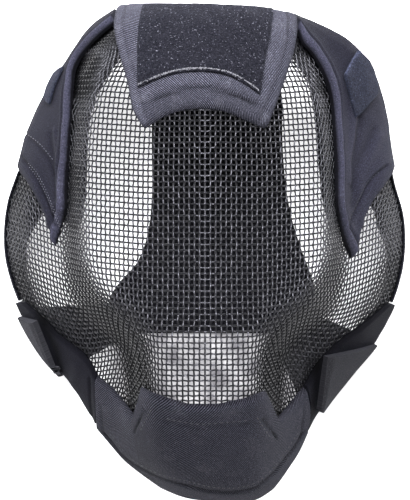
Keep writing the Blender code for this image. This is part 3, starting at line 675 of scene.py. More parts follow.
def lay_cloth(grid, lift, thickness, columns, hem=None, free_end=None, relief=None, edge_round=0.7,
              lining=None, shade=None):
    """Cloth laid on the shell over a grid of plane points, whose rows may run to the rim.

    thickness(from_edge, from_rim), relief(plane_points) and shade(plane_points, from_edge) say
    how thick it is and how much darker and lighter it is painted, as painted shade and painted light.
    With a hem, each row goes on round the rim and back inside, as far as the hem's reach or to the
    row's point of a lining's edge, and is painted darker inside as painted shade; free_end adds
    places past that. Returns the piece and the size it was cut to.
    """
    under, thick, shades = [], [], []
    outwards = away_from_face(grid[:, -1])
    reaches = hem_reaches(grid[:, -1], hem, free_end) if hem else None
    for i, row in enumerate(grid):
        path = shell_path(row, columns)
        points, normals = on_shell(path)
        walked = lengths_along(points)
        places = list(points + normals * lift)
        wall = [thickness(d, walked[-1] - d) for d in walked]
        tone = list(shade(path, walked)) if shade else [1.0] * columns
        if relief:
            wall = list(np.array(wall) + relief(path))
        if hem:
            inner_end = row[-1] - outwards[i] * hem.reach if lining is None else lining[i]
            reach = reaches[i] if lining is None else np.inf
            turned = under_folded_rim(row[-1], outwards[i], inner_end, reach, lift)
            places += turned
            wall += [wall[-1] + (hem.thickness - wall[-1]) * min(1.0, (n + 1) / 4)
                     for n in range(len(turned))]
            if free_end:
                run = free_end(i, places[-1])
                places += run
                wall += [hem.thickness] * len(run)
            # Painted shade: the hem and the lining inside the mask are painted darker than the cloth
            # outside.
            inside = HEM_SHADE if lining is None else LINING_SHADE
            tone += [1.0 + (inside - 1.0) * min(1.0, n / 8) for n in range(len(places) - columns)]
        under.append(places)
        thick.append(wall)
        shades.append(tone)
    under, thick = np.array(under), np.clip(np.array(thick), 0.4, None)
    piece = grid_laid_on(under, own_lengths(under), np.array(shades))
    if sheet_faces_inwards(piece):
        piece.data.flip_normals()
    give_wall(piece, thick, float(thick.max()), edge_round)
    return piece, cut_size(under)


def sheet_faces_inwards(piece):
    """True if the grid's first faces, which lie on the shell, point into the mask."""
    face = piece.data.polygons[1]
    centre = np.array(face.center) / MM
    return float(np.array(face.normal) @ on_shell(centre[:2])[1]) < 0


def even(value):
    """Thickness that is the same all over, thinned by a third at the free edge."""
    return lambda from_edge, from_rim: value * (2 + min(1.0, from_edge / EDGE_WIDTH)) / 3


def tubes(name, paths, radius, sides_level, material, slot, *nodes):
    """Wires or threads along paths, as one piece."""
    curve = bpy.data.curves.new(name, "CURVE")
    curve.dimensions = "3D"
    curve.bevel_depth = radius * MM
    curve.bevel_resolution = sides_level
    curve.use_fill_caps = True
    for path in paths:
        spline = curve.splines.new("POLY")
        spline.points.add(len(path) - 1)
        places = (np.asarray(path) + LOWERED) * MM
        spline.points.foreach_set("co", np.concatenate([places, np.ones((len(path), 1))], axis=1).ravel())
    piece = bpy.data.objects.new(name, curve)
    bpy.context.scene.collection.objects.link(piece)
    select_only(piece)
    bpy.ops.object.convert(target="MESH")
    piece = bpy.context.object
    bpy.ops.object.shade_smooth()
    return finish_piece(piece, name, material, slot, *nodes)


# ---------------------------------------------------------------------------- woven wires

NET_ACROSS = 66          # wires each side of the keel
NET_UP = 62              # and above and below the base wire
NET_ROUNDS = 8           # of Newton's method at each crossing
LEAST_TURN = 0.3         # keeps its steps short where two wires run almost side by side
# How far the wire through the middle of the face climbs on its way to each ear.
BASE_WIRE_RISE = [(0, 0), (30, 0), (60, 3), (75, 6), (112, 18), (150, 30)]
# How far the wires lean towards the middle as they near the brow, by height on the face.
BROW_LEAN = [(45, 0), (60, 0.8), (71, 1.8), (82, 3.6), (93, 7.5), (102, 12), (115, 16), (180, 16)]
BROW_LEAN_RUN = 38.0     # from the keel to where they lean by all of that
# Painted light: how much of the paint's brightness shows, by how far the shell faces up, so that
# the open faces are painted lighter and the steep walls darker, for how the light falls there.
WIRE_PAINTED_LIGHT = [(0.2, 0.18), (0.35, 0.4), (0.7, 1.0), (1.0, 1.0)]


def steps_along(line, count):
    """Plane points a wire pitch apart, as measured on the shell, along a line."""
    fine = even_points(line, 3000)
    walked = lengths_along(on_shell(fine)[0])
    wanted = np.arange(count + 1) * WIRE_PITCH
    return np.stack([np.interp(wanted, walked, column) for column in fine.T], axis=1)


def net_quarter(keel, base):
    """Crossings of the weave in one quarter of the face, from the keel and the base wire.

    Wires don't stretch: each crossing lies one pitch from the two before it, on the shell.
    """
    across, up = len(base) - 1, len(keel) - 1
    net = np.zeros((across + 1, up + 1, 2))
    net[0], net[:, 0] = keel, base
    for step in range(2, across + up + 1):
        i = np.arange(max(1, step - up), min(across, step - 1) + 1)
        j = step - i
        beside, below = net[i - 1, j], net[i, j - 1]
        beside_3d, below_3d = on_shell(beside)[0], on_shell(below)[0]
        place = beside + below - net[i - 1, j - 1]
        for _ in range(NET_ROUNDS):
            point, normal = on_shell(place)
            slope = -normal[:, :2] / normal[:, 2:]
            to_beside, to_below = point - beside_3d, point - below_3d
            miss_beside = (to_beside ** 2).sum(1) - WIRE_PITCH ** 2
            miss_below = (to_below ** 2).sum(1) - WIRE_PITCH ** 2
            a = 2 * (to_beside[:, :2] + to_beside[:, 2:] * slope)
            b = 2 * (to_below[:, :2] + to_below[:, 2:] * slope)
            turn = a[:, 0] * b[:, 1] - a[:, 1] * b[:, 0]
            least = LEAST_TURN * WIRE_PITCH ** 2
            turn = np.where(np.abs(turn) < least, np.copysign(least, turn), turn)
            move = np.stack([miss_beside * b[:, 1] - miss_below * a[:, 1],
                             miss_below * a[:, 0] - miss_beside * b[:, 0]], axis=1) / turn[:, None]
            size = np.linalg.norm(move, axis=1, keepdims=True)
            place = place - move * np.minimum(1, WIRE_PITCH / 2 / np.maximum(size, 1e-9))
        net[i, j] = place
    return net


def woven_net():
    """Plane places of all crossings, first index across the face and second up it."""
    run = np.linspace(0, 150, 300)
    rise = np.interp(run, *np.array(BASE_WIRE_RISE, float).T)
    rounding = 15            # places each way over which the wire's bends are rounded
    rise = np.convolve(np.pad(rise, rounding, mode="edge"), np.ones(2 * rounding + 1) / (2 * rounding + 1),
                       "valid")
    whole = np.zeros((2 * NET_ACROSS + 1, 2 * NET_UP + 1, 2))
    for side in (-1, 1):
        base = steps_along(np.stack([side * run, rise], axis=1), NET_ACROSS)
        for way in (-1, 1):
            keel = steps_along([(0, 0), (0, way * 175)], NET_UP)
            quarter = net_quarter(keel, base)
            whole[NET_ACROSS::side, NET_UP::way][:NET_ACROSS + 1, :NET_UP + 1] = quarter
    lean = np.interp(whole[..., 1], *np.array(BROW_LEAN, float).T)
    part = np.clip(np.abs(whole[..., 0]) / BROW_LEAN_RUN, 0, 1)
    whole[..., 0] -= np.sign(whole[..., 0]) * lean * part * part * (3 - 2 * part)
    return whole


def rim_outline():
    return np.concatenate([smooth_curve(LEFT_RIM, 90), smooth_curve(CROWN_RIM, 30),
                           smooth_curve(RIGHT_RIM, 90)[::-1], smooth_curve(CHIN_RIM, 30)[::-1]])


def inside_rim(points, outline):
    """True for plane points within the outline."""
    x, y = points[..., 0], points[..., 1]
    crossings = np.zeros(x.shape, int)
    for (ax, ay), (bx, by) in zip(outline, np.roll(outline, -1, axis=0)):
        spans = (ay > y) != (by > y)
        if ay != by:
            crossings += spans & (x < ax + (y - ay) / (by - ay) * (bx - ax))
    return crossings % 2 == 1


def cut_end(flat, places, inner, outer, outline):
    """End of a wire cut at the rim, between its last place inside and the first outside."""
    reach = 0.5
    for step in (0.25, 0.125, 0.0625):
        test = flat[inner] + (flat[outer] - flat[inner]) * reach
        reach += step if inside_rim(test, outline) else -step
    return places[inner] + (places[outer] - places[inner]) * max(reach, 0.1)


def wire_paths(net, across, outline):
    """Each wire of one direction, crimped over and under those that it crosses."""
    lines = net.transpose(1, 0, 2) if across else net
    crimp = WIRE_WALL / 2 - WIRE_RADIUS
    paths = []
    for number, line in enumerate(lines):
        count = len(line)
        fine = np.zeros((2 * count - 1, 2))
        fine[::2] = line
        fine[1::2] = (line[1:] + line[:-1]) / 2
        over = np.zeros(2 * count - 1)
        over[::2] = crimp * np.where((np.arange(count) + number + across) % 2, 1, -1)
        kept = inside_rim(fine, outline)
        points, normals = on_shell(fine)
        places = points + normals * (over - WIRE_WALL / 2)[:, None]
        starts = np.flatnonzero(kept & ~np.append(False, kept[:-1]))
        ends = np.flatnonzero(kept & ~np.append(kept[1:], False))
        for start, end in zip(starts, ends):
            if end - start < 2:
                continue
            path = list(places[start:end + 1])
            if start > 0:
                path.insert(0, cut_end(fine, places, start, start - 1, outline))
            if end + 1 < len(places):
                path.append(cut_end(fine, places, end, end + 1, outline))
            paths.append(np.array(path))
    return paths


def make_woven_wires():
    net = woven_net()
    outline = rim_outline()
    across = wire_paths(net, 1, outline)
    down = wire_paths(net, 0, outline)
    middle_y = float(np.median([path[:, 1].mean() for path in across]))
    groups = {
        "wires_across_brow": [path for path in across if path[:, 1].mean() >= middle_y],
        "wires_across_jaw": [path for path in across if path[:, 1].mean() < middle_y],
        "wires_down_left": [path for path in down if path[:, 0].mean() < 0],
        "wires_down_right": [path for path in down if path[:, 0].mean() >= 0],
    }
    for name, paths in groups.items():
        wires = tubes(name, paths, WIRE_RADIUS, 1, BLACK_WIRE, "steel_wire", "wire_mesh")
        places = np.zeros(3 * len(wires.data.vertices), np.float32)
        wires.data.vertices.foreach_get("co", places)
        # Painted light: how much of the paint's brightness shows, by how far the shell faces up.
        faces_up = on_shell(places.reshape(-1, 3)[:, :2] / MM)[1][:, 2]
        painted_light_by_facing = np.interp(faces_up, *np.array(WIRE_PAINTED_LIGHT, float).T)
        carried = wires.data.attributes.new("painted_light_by_facing", "FLOAT", "POINT")
        carried.data.foreach_set("value", painted_light_by_facing.astype(np.float32))


# ---------------------------------------------------------------------------- cloth pieces

PAD_LOWER = [(-30, 61), (-26, 63.5), (-20, 67), (-10, 70), (0, 70.3), (10, 69), (20, 65), (26, 62.5),
             (30, 61)]
PAD_UPPER = [(-45.4, 130), (-36, 129.6), (-20, 128.2), (10, 127.2), (30, 126.4), (46.5, 124.1)]
PAD_LEFT = [(-30, 61), (-34, 68), (-38, 85), (-42.5, 99), (-45.5, 113), (-45.4, 130)]
PAD_RIGHT = [(30, 61), (33, 69), (37, 80), (41, 91), (45, 104), (46.3, 114), (46.5, 124.1)]
PAD_SEWN_LINE = [(-26, 75), (-18, 77), (-8, 80), (0, 80), (10, 78), (20, 74), (24, 73)]
# Painted light: how much lighter than the bare twill each part of the pad is painted, for how the light
# falls on it.
PAD_LEFT_STRIP_PAINTED_LIGHT = 1.1
PAD_RIGHT_STRIP_PAINTED_LIGHT = 0.7
PAD_HEM_PAINTED_LIGHT = 0.5      # below the sewn line
PAD_YOKE_PAINTED_LIGHT = 0.55    # more than that above it
PAD_YOKE_FROM = 11.0     # distance of that line from the pad's lower edge


def make_forehead_pad():
    lower, upper = smooth_curve(PAD_LOWER, 90), smooth_curve(PAD_UPPER, 90)
    left, right = smooth_curve(PAD_LEFT, 40), smooth_curve(PAD_RIGHT, 40)
    grid = four_sided_patch(left, right, lower, upper)
    seams = [Seam(PAD_SEWN_LINE, 1.0, 0.8, 0.6), Seam(lower, 0.8, 1.0, 0.3)]
    for side in (left, right):
        strip_seam = side - np.sign(side[:, :1]) * (PAD_STRIP_WIDTH, 0)
        seams += [Seam(side, 0.8, 1.0, 0.5), Seam(strip_seam, 0.3, 0.7, 0.3)]

    def thickness(from_edge, from_rim):
        fullness = min(1.0, from_edge / PAD_EDGE_WIDTH, from_rim / PAD_EDGE_WIDTH)
        roll = 1.2 * swell(from_edge, 3.6, 2.2) - 0.7 * swell(from_edge, 0, 1.2)
        return THIN_HEM + (PAD_THICKNESS - THIN_HEM) * fullness + roll

    def relief(points):
        height = seams_relief(points, seams) + 0.22 * unevenness(points, 14, 3)
        for side in (left, right):
            height = height + 0.3 * swell(from_line(points, side), 2.8, 1.7)
        return height

    # Painted shade in the seams, and painted light on the side strips and above the sewn line.
    def shade(points, from_edge):
        strip = PAD_LEFT_STRIP_PAINTED_LIGHT * (from_line(points, left) < PAD_STRIP_WIDTH)
        strip = strip + PAD_RIGHT_STRIP_PAINTED_LIGHT * (from_line(points, right) < PAD_STRIP_WIDTH)
        yoke = PAD_HEM_PAINTED_LIGHT + PAD_YOKE_PAINTED_LIGHT * np.clip((from_edge - PAD_YOKE_FROM) / 3, 0, 1)
        return seams_shade(points, seams) * (1 + strip + yoke * (strip == 0))

    pad, _ = lay_cloth(grid, SEAT_GAP, thickness, 46, Hem(THIN_HEM, HEM_RETURN), relief=relief,
                       shade=shade)
    finish_piece(pad, "forehead_pad_twill", TWILL, "twill", "forehead_pad")


PATCH_LOWER_EDGE = [(-31.5, 81), (-21, 85), (-11, 87.2), (0, 87.3), (9, 86), (18, 82), (25.5, 77)]
# Ends 1 to 2.5 mm below the top of the CAD solid, which stands a little high.
PATCH_UPPER_EDGE = [(-31, 122.3), (0, 121.4), (33.5, 120.3)]
PATCH_LEFT_EDGE = [(-31.5, 81), (-32, 95), (-31.5, 113), (-31, 122.3)]
PATCH_RIGHT_EDGE = [(25.5, 77), (28.5, 95), (32, 113), (33.5, 120.3)]


def make_forehead_loop():
    lower, upper = smooth_curve(PATCH_LOWER_EDGE, 70), smooth_curve(PATCH_UPPER_EDGE, 70)
    left, right = smooth_curve(PATCH_LEFT_EDGE, 30), smooth_curve(PATCH_RIGHT_EDGE, 30)
    grid = four_sided_patch(left, right, lower, upper)
    lift = SEAT_GAP + PAD_THICKNESS + LOOP_GAP
    patch, cut = lay_cloth(grid, lift, even(LOOP_THICKNESS), 46,
                           relief=lambda points: 0.25 * unevenness(points, 5, 11), edge_round=0.5)
    finish_piece(patch, "forehead_loop_pile", FOREHEAD_PILE, "loop_pile", "forehead_loop")
    return patch


# Each band's flat part is painted lighter and darker by height on the face, as painted light and shade,
# from pairs of height and share of its tone.
BandShape = namedtuple("BandShape", "rim inner lower rim_start_y rim_end_y lining tones seams")
LEFT_BAND = BandShape(
    rim=LEFT_RIM,
    inner=[(-46.9, 118.5), (-54, 113.2), (-62.3, 106.4), (-67.8, 98), (-69.2, 85), (-70, 70), (-70.8, 53),
           (-72, 31.5), (-72, 22.5), (-76, 11), (-79.3, 2)],
    lower=[(-79.3, 2), (-83, 13.5), (-86, 21.5), (-90, 29.6), (-94.5, 36.3), (-103, 45)],
    rim_start_y=128.8,
    rim_end_y=45.0,
    lining=[(-44.5, 103.5), (-50.6, 95), (-58.5, 84), (-63.5, 71.5), (-65, 57), (-65.5, 40), (-67, 24),
            (-72, 10)],
    tones=[(0, 0.75), (70, 0.7), (130, 0.65)],
    # Lines with dark below zero are fold ridges painted lighter, as painted highlight; the others are seams
    # and grooves with dirt and painted shade.
    seams=[Seam([(-99, 65.5), (-89.5, 58.2), (-81.4, 49.3), (-77.5, 40)], 0.5, 0.8, 0.35),
           Seam([(-99, 51.5), (-93.5, 45.7), (-87.5, 37.5), (-82.2, 25.7), (-76.7, 13.4)], 0.9, 0.8, 0.5),
           Seam([(-97, 45), (-90.5, 36.5), (-84.5, 24.5), (-79.5, 11)], -0.5, 1.2, -0.15),
           Seam([(-77, 64), (-74.6, 42), (-73.5, 20)], -0.9, 1.3, -0.2),
           Seam([(-80, 62), (-77.8, 42), (-76, 22)], 0.5, 1.3, 0.22)])
RIGHT_BAND = BandShape(
    rim=RIGHT_RIM,
    inner=[(47.8, 113.5), (49.8, 107.5), (55, 101.5), (60.6, 92), (64.2, 81), (66, 63), (66.9, 42),
           (67.2, 23.5), (70, 11), (76.6, -4.2)],
    lower=[(76.6, -4.2), (80.8, 6.5), (85, 18.9), (90.8, 29.5), (95.6, 35.6), (102.6, 44)],
    rim_start_y=124.2,
    rim_end_y=44.0,
    lining=[(46.4, 106), (50, 99.5), (56, 91), (60.5, 76), (62, 60), (63, 42), (65, 26), (70, 10)],
    tones=[(0, 1.2), (65, 1.2), (90, 0.9), (115, 0.6), (130, 0.5)],
    # Lines with dark below zero are fold ridges painted lighter, as painted highlight; the others are seams
    # and grooves with dirt and painted shade.
    seams=[Seam([(75.4, 83), (76.5, 70), (75, 58.6), (72.3, 47.6), (72.6, 36)], -1.3, 1.8, -0.2),
           Seam([(80, 82), (80.5, 68), (78, 56), (75.5, 46), (75.5, 34)], 0.8, 1.8, 0.2),
           Seam([(88.6, 65.4), (85.1, 56.6), (78.9, 45.5), (76.3, 34.6), (75.3, 24)], 0.9, 2.2, 0.2),
           Seam([(92, 62), (88, 53), (82, 42), (79.5, 31)], -0.7, 2.4, -0.1),
           Seam([(95.8, 45.5), (88.6, 39.8), (84, 33.3), (80.9, 26.8), (75.2, 17.6), (72.4, 11.6)],
                0.9, 0.9, 0.4)])


# Where the band's rows meet the rim, as a share of its length there, for shares of its inner edge.
BAND_ROWS = [(0, 0), (0.12, 0.17), (0.25, 0.36), (0.37, 0.52), (0.5, 0.66), (0.62, 0.78), (0.81, 0.91),
             (1, 1)]


def make_side_band(name, node, shape, seed):
    stations = 130
    rows = np.interp(np.linspace(0, 1, stations), *np.array(BAND_ROWS, float).T)
    inner = smooth_curve(shape.inner, stations)
    outer = points_at(rim_between(shape.rim, shape.rim_start_y, shape.rim_end_y, 400), rows)
    crown_end = np.linspace(inner[0], outer[0], 30)
    lower = smooth_curve(shape.lower[:-1] + [tuple(outer[-1])], 30)
    grid = four_sided_patch(crown_end, lower, inner, outer)

    def thickness(from_edge, from_rim):
        from_crest = (from_edge - BAND_ROLL_CREST) / (BAND_ROLL_WIDTH - BAND_ROLL_CREST)
        roll = (BAND_ROLL - BAND_THICKNESS) * max(0.0, 1.0 - from_crest ** 2)
        thinning = (BAND_THICKNESS - BAND_HEM) * max(0.0, 1.0 - from_rim / BAND_ROLL_WIDTH)
        sewn = 1.2 * swell(from_edge, BAND_SEWN_AT, 0.8) - 0.7 * swell(from_edge, BAND_PUFF_AT, 1.6)
        turned_edge_and_shadow = 2.6 * swell(from_edge, 0, 2.4)
        return BAND_THICKNESS - thinning + roll - sewn - turned_edge_and_shadow

    def relief(points):
        height = seams_relief(points, shape.seams) - 0.9 * swell(from_line(points, lower), 0, 1.2)
        return height + 0.5 * unevenness(points, 22, seed) + 0.14 * unevenness(points, 7, seed + 1)

    def shade(points, from_edge):
        # Painted shadow in the gap under the inner edge, painted highlight along the roll, painted shade at
        # the sewn row, and painted light and shade on the flat by height.
        turned_edge_and_shadow = 0.85 * swell(from_edge, 0, 0.9, 4)
        sewn = 0.4 * swell(from_edge, BAND_SEWN_AT, 0.8) - 1.3 * swell(from_edge, BAND_ROLL_LIT, 2.3)
        flat = np.interp(points[:, 1], *np.array(shape.tones, float).T)
        tone = flat + (1 - flat) * swell(from_edge, 0, 7, 4)
        return seams_shade(points, shape.seams) * (1 - turned_edge_and_shadow) * (1 - sewn) * tone

    band, _ = lay_cloth(grid, SEAT_GAP, thickness, 46, Hem(BAND_HEM, HEM_RETURN), relief=relief,
                        lining=points_at(smooth_curve(shape.lining, 400), rows), shade=shade)
    finish_piece(band, name, SMOOTH_CLOTH, "smooth_cloth", node)
    return band


LoopShape = namedtuple("LoopShape", "inner outer raised")
LEFT_LOOP = LoopShape(
    inner=[(-72, 97), (-77, 87), (-79.5, 77.5)],
    outer=[(-78, 94.5), (-81.5, 88), (-83.5, 81.5)],
    raised=[(-73, 97), (-75.5, 96)])
RIGHT_LOOP = LoopShape(
    inner=[(78, 106), (69.5, 91.5), (76, 70.5)],
    outer=[(84.5, 101), (88, 93), (89, 84.5)],
    raised=[(79, 105.5), (75, 101), (70.5, 92.5)])


def make_side_loop(name, node, shape):
    """Loop patch with a corner towards the face, and a raised part of its edge that is coloured lighter."""
    inner = straight_runs(shape.inner, 13)
    outer = smooth_curve(shape.outer, len(inner))
    grid = four_sided_patch(np.linspace(inner[0], outer[0], 14), np.linspace(inner[-1], outer[-1], 14),
                            inner, outer)
    lift = SEAT_GAP + BAND_THICKNESS + LOOP_GAP

    def relief(points):
        return 0.15 * unevenness(points, 4, 5) + 0.5 * swell(from_line(points, shape.raised), 0, 0.8)

    def shade(points, from_edge):
        # Lighter along the raised part of the edge.
        return 1 + 2.2 * swell(from_line(points, shape.raised), 0, 0.6)

    patch, cut = lay_cloth(grid, lift, even(LOOP_THICKNESS), 20, relief=relief, edge_round=0.5, shade=shade)
    finish_piece(patch, name, SIDE_PILE, "loop_pile", node)


# facing: where the cloth inside each ear ends, from the side band down to the jaw.
EarShape = namedtuple("EarShape", "rim top_y bottom_y facing")
LEFT_EAR = EarShape(
    rim=LEFT_RIM,
    top_y=44.4,
    bottom_y=-28.6,
    facing=[(-88, 24), (-91, 18.5), (-96.5, 11), (-100.2, 4.5), (-101.2, -6), (-100.1, -17), (-96.5, -28)])
RIGHT_EAR = EarShape(
    rim=RIGHT_RIM,
    top_y=43.4,
    bottom_y=-29.4,
    facing=[(89, 27), (93.5, 22.5), (97.5, 11), (102.5, 1.5), (103, -10), (101.9, -21), (99, -29)])


def make_ear_edge(name, node, shape):
    """Binding round the rim at an ear, with the facing that it holds inside the wires."""
    outer = rim_between(shape.rim, shape.top_y, shape.bottom_y, 80)
    grid = np.stack([outer - away_from_face(outer) * BINDING_PLAN, outer], axis=1)
    edge, cut = lay_cloth(grid, BINDING_GAP, even(BINDING_THICKNESS), 6,
                          Hem(BINDING_THICKNESS, BINDING_WIDTH), edge_round=0.4,
                          lining=smooth_curve(shape.facing, 80))
    finish_piece(edge, name, TAPE, "binding_tape", node)


JawShape = namedtuple("JawShape", "rim upper seam_end rim_start_y rim_end_y seams")
LEFT_JAW = JawShape(
    rim=LEFT_RIM,
    upper=[(-98.5, -28.5), (-94, -32), (-88.5, -36.2), (-84, -40), (-80.5, -43.8), (-73.5, -49.2),
           (-65.5, -54.8), (-60.5, -60.5), (-57.5, -67)],
    seam_end=[(-57.5, -67), (-57.2, -80), (-57.5, -94.3)],
    rim_start_y=-28.5,
    rim_end_y=-94.3,
    # The first line is painted shadow beside the strap's tab, and the last a fold's ridge painted lighter
    # as painted highlight.
    seams=[Seam([(-89, -35), (-80, -52), (-77.3, -66)], 0.3, 2.6, 0.85),
           Seam([(-60.3, -69), (-60, -82), (-59.5, -92)], 0.7, 0.8, 0.5),
           Seam([(-68, -62), (-70, -76)], -0.6, 3.0, -0.1)])
RIGHT_JAW = JawShape(
    rim=RIGHT_RIM,
    upper=[(100, -29.5), (94, -34), (82, -42), (75, -46.5), (70, -50.5), (65, -55), (59, -61.5),
           (52.5, -72)],
    seam_end=[(52.5, -72), (54.5, -82), (53.8, -97)],
    rim_start_y=-29.3,
    rim_end_y=-97.0,
    # The first line is painted shadow beside the strap's tab, and the second a broad painted shadow above
    # it, with no dent.
    seams=[Seam([(60, -54), (58.3, -68), (55.5, -88)], 0.3, 3.0, 0.9),
           Seam([(96, -34), (80, -46), (64, -55)], 0.0, 9.0, 0.35)])


JAW_TONE_AND_SHADE = 0.34          # painted darker than the smooth cloth: partly a darker cut of it, partly painted shade where the jaw covers face away from the light


def make_jaw(name, node, shape, seed):
    stations = 90
    inner = smooth_curve(shape.upper, stations)
    outer = rim_between(shape.rim, shape.rim_start_y, shape.rim_end_y, stations)
    seam = smooth_curve(shape.seam_end[:-1] + [tuple(outer[-1])], 26)
    grid = four_sided_patch(np.linspace(inner[0], outer[0], 26), seam, inner, outer)

    def relief(points):
        height = seams_relief(points, shape.seams) - 0.5 * swell(from_line(points, inner), 0, 0.9)
        return height + 0.35 * unevenness(points, 15, seed) + 0.12 * unevenness(points, 5, seed + 1)

    def shade(points, from_edge):
        # Painted shadow under the upper edge, and painted shade in the lines, with the jaw covers' darker
        # tone.
        turned_edge_and_shadow = 0.5 * swell(from_line(points, inner), 0, 1.4)
        return JAW_TONE_AND_SHADE * seams_shade(points, shape.seams) * (1 - turned_edge_and_shadow)

    jaw, cut = lay_cloth(grid, SEAT_GAP, even(JAW_THICKNESS), 36, Hem(JAW_THICKNESS, HEM_RETURN),
                         relief=relief, shade=shade)
    finish_piece(jaw, name, SMOOTH_CLOTH, "smooth_cloth", node)


CUP_TOP = [(-56.5, -67.8), (-48, -73.5), (-41.5, -80), (-35, -86), (-30.5, -69.5), (-20, -72.7),
           (-8, -76), (6, -76), (18, -73.7), (28.5, -71), (36, -88), (42, -83), (51.5, -73.5)]
CUP_RIM_START_Y = -95.4
CUP_RIM_END_Y = -98.2
CUP_HEM = [(-52, -99), (-44, -108), (-36, -114), (-25, -117), (-11, -119), (0, -122), (12, -123.5),
           (24, -122), (34, -116.5), (43, -107), (50, -98)]
CUP_FOLD_LINES = [[(-27, -80), (-33.5, -93.5)], [(26, -84), (33.5, -96.5)]]
CUP_SEWN_LINE = [(-20, -84.5), (-4, -87), (8, -86.5), (23, -85.5)]
CUP_SIDE_SEAMS = [[(-53, -83), (-52.5, -99)], [(50, -84), (48.5, -101)]]
CUP_TONE = 0.95


def make_chin_cup():
    upper = straight_runs(CUP_TOP, 9)
    left = rim_between(LEFT_RIM, CUP_RIM_START_Y, LEFT_RIM[0][1], 160)
    right = rim_between(RIGHT_RIM, RIGHT_RIM[0][1], CUP_RIM_END_Y, 160)
    rim = even_points(np.concatenate([left, smooth_curve(CHIN_RIM, 160), right]), len(upper))
    grid = four_sided_patch(smooth_curve([upper[0], (-56.2, -80), rim[0]], 40),
                            smooth_curve([upper[-1], (53.6, -84), rim[-1]], 40), upper, rim)

    # Painted shadow along the top edge, and dirt and painted shade in the hem, the sewn line, the folds and
    # the side seams.
    seams = [Seam(upper, 0.7, 0.9, 0.4), Seam(CUP_HEM, 1.1, 0.9, 0.5), Seam(CUP_SEWN_LINE, 0.5, 0.7, 0.3)]
    seams += [Seam(line, 0.9, 0.6, 0.75) for line in CUP_FOLD_LINES]
    seams += [Seam(line, 0.6, 0.7, 0.5) for line in CUP_SIDE_SEAMS]

    def relief(points):
        return seams_relief(points, seams) + 0.3 * unevenness(points, 13, 21)

    cup, cut = lay_cloth(grid, CUP_GAP, even(CUP_THICKNESS), 52, Hem(THIN_HEM, HEM_RETURN),
                         relief=relief,
                         shade=lambda points, from_edge: CUP_TONE * seams_shade(points, seams))
    finish_piece(cup, "chin_cup_twill", TWILL, "twill", "chin_cup")
    return cup


PanelRow = namedtuple("PanelRow", "y left_x right_x")
PANEL_ROWS = [PanelRow(-47, -36, 37), PanelRow(-38, -52, 57), PanelRow(-28, -54, 62),
              PanelRow(-18, -48, 61), PanelRow(-8, -39, 57.5), PanelRow(3, -34, 53.5),
              PanelRow(14, -31.5, 50), PanelRow(30, -30, 46.5), PanelRow(55, -30, 44),
              PanelRow(78, -30, 43.5)]
PANEL_COLUMNS = 60
PANEL_LIFT_ROWS = 45
PANEL_LEAVES = np.array([0.0, 26.0, 0.0])
PANEL_ARRIVES = np.array([0.0, -2.0, -16.0])
PANEL_UNDERSIDE = -FLOOR_DROP      # the flat part lies on the floor
PANEL_FULLEST = 2.6
PANEL_SEAM_LEFT_X = -29
PANEL_SEAM_WIDTH = 67


def make_head_panel():
    """Flat behind the head, then curving up to its seam inside the crown."""
    table = np.array(PANEL_ROWS, float)
    y = np.linspace(table[0, 0], table[-1, 0], 90)
    edges = smooth_values(table[:, 0], table[:, 1:], y)
    across = np.linspace(0, 1, PANEL_COLUMNS)
    x = edges[:, :1] + (edges[:, 1:] - edges[:, :1]) * across
    flat = np.stack([x, np.repeat(y[:, None], PANEL_COLUMNS, 1), np.full_like(x, PANEL_UNDERSIDE)], axis=-1)
    last = flat[-1]
    seam_x = PANEL_SEAM_LEFT_X + PANEL_SEAM_WIDTH * across
    crown = smooth_curve(CROWN_RIM, 60)
    seam_plan = np.stack([seam_x, np.interp(seam_x, crown[:, 0], crown[:, 1]) - 1.0], axis=1)
    point, normal = on_shell(seam_plan)
    seam = point - normal * (WIRE_WALL + 2 * SEAT_GAP + HEM_THICKNESS + PANEL_THICKNESS)
    lifted = [curved_between(last, last + PANEL_LEAVES, seam + PANEL_ARRIVES, seam, part)
              for part in np.linspace(0, 1, PANEL_LIFT_ROWS + 1)[1:]]
    under = np.concatenate([flat, np.array(lifted)])
    panel = grid_laid_on(under, own_lengths(under))
    if panel.data.polygons[0].normal.z < 0:
        panel.data.flip_normals()
    thick = PANEL_THICKNESS + 0.25 * unevenness(under[..., :2], 16, 31)
    give_wall(panel, np.clip(thick, 1.2, None), PANEL_FULLEST, 0.6)
    # The panel wears the darker copy of the smooth cloth, as painted shade.
    finish_piece(panel, "head_panel_cloth", PANEL_CLOTH_IN_PAINTED_SHADE, "smooth_cloth", "head_panel")


StrapShape = namedtuple("StrapShape", "rim tab rim_start_y rim_end_y panel_end")
LEFT_STRAP = StrapShape(
    rim=LEFT_RIM,
    tab=[(-89, -37), (-79, -64)],
    rim_start_y=-35.5,
    rim_end_y=-67.0,
    panel_end=[(-40, -30), (-36, -45)])
RIGHT_STRAP = StrapShape(
    rim=RIGHT_RIM,
    tab=[(61, -56), (57, -85)],
    rim_start_y=-50.5,
    rim_end_y=-87.0,
    panel_end=[(44, -28), (36, -45)])
STRAP_STATIONS = 36      # rows across a strap's width
STRAP_RUN_POINTS = 40    # places along its way from the rim to the panel
STRAP_LEAVES = 0.25      # how softly it leaves the rim, as a share of that way
STRAP_ARRIVES = 0.55     # and how softly it comes down on the panel
STRAP_RETURN = 9.0       # how far it is folded back inside the rim
TAB_LOOP_RISE = 3.2      # how far the folded end stands off the jaw
UP = np.array([0.0, 0.0, 1.0])


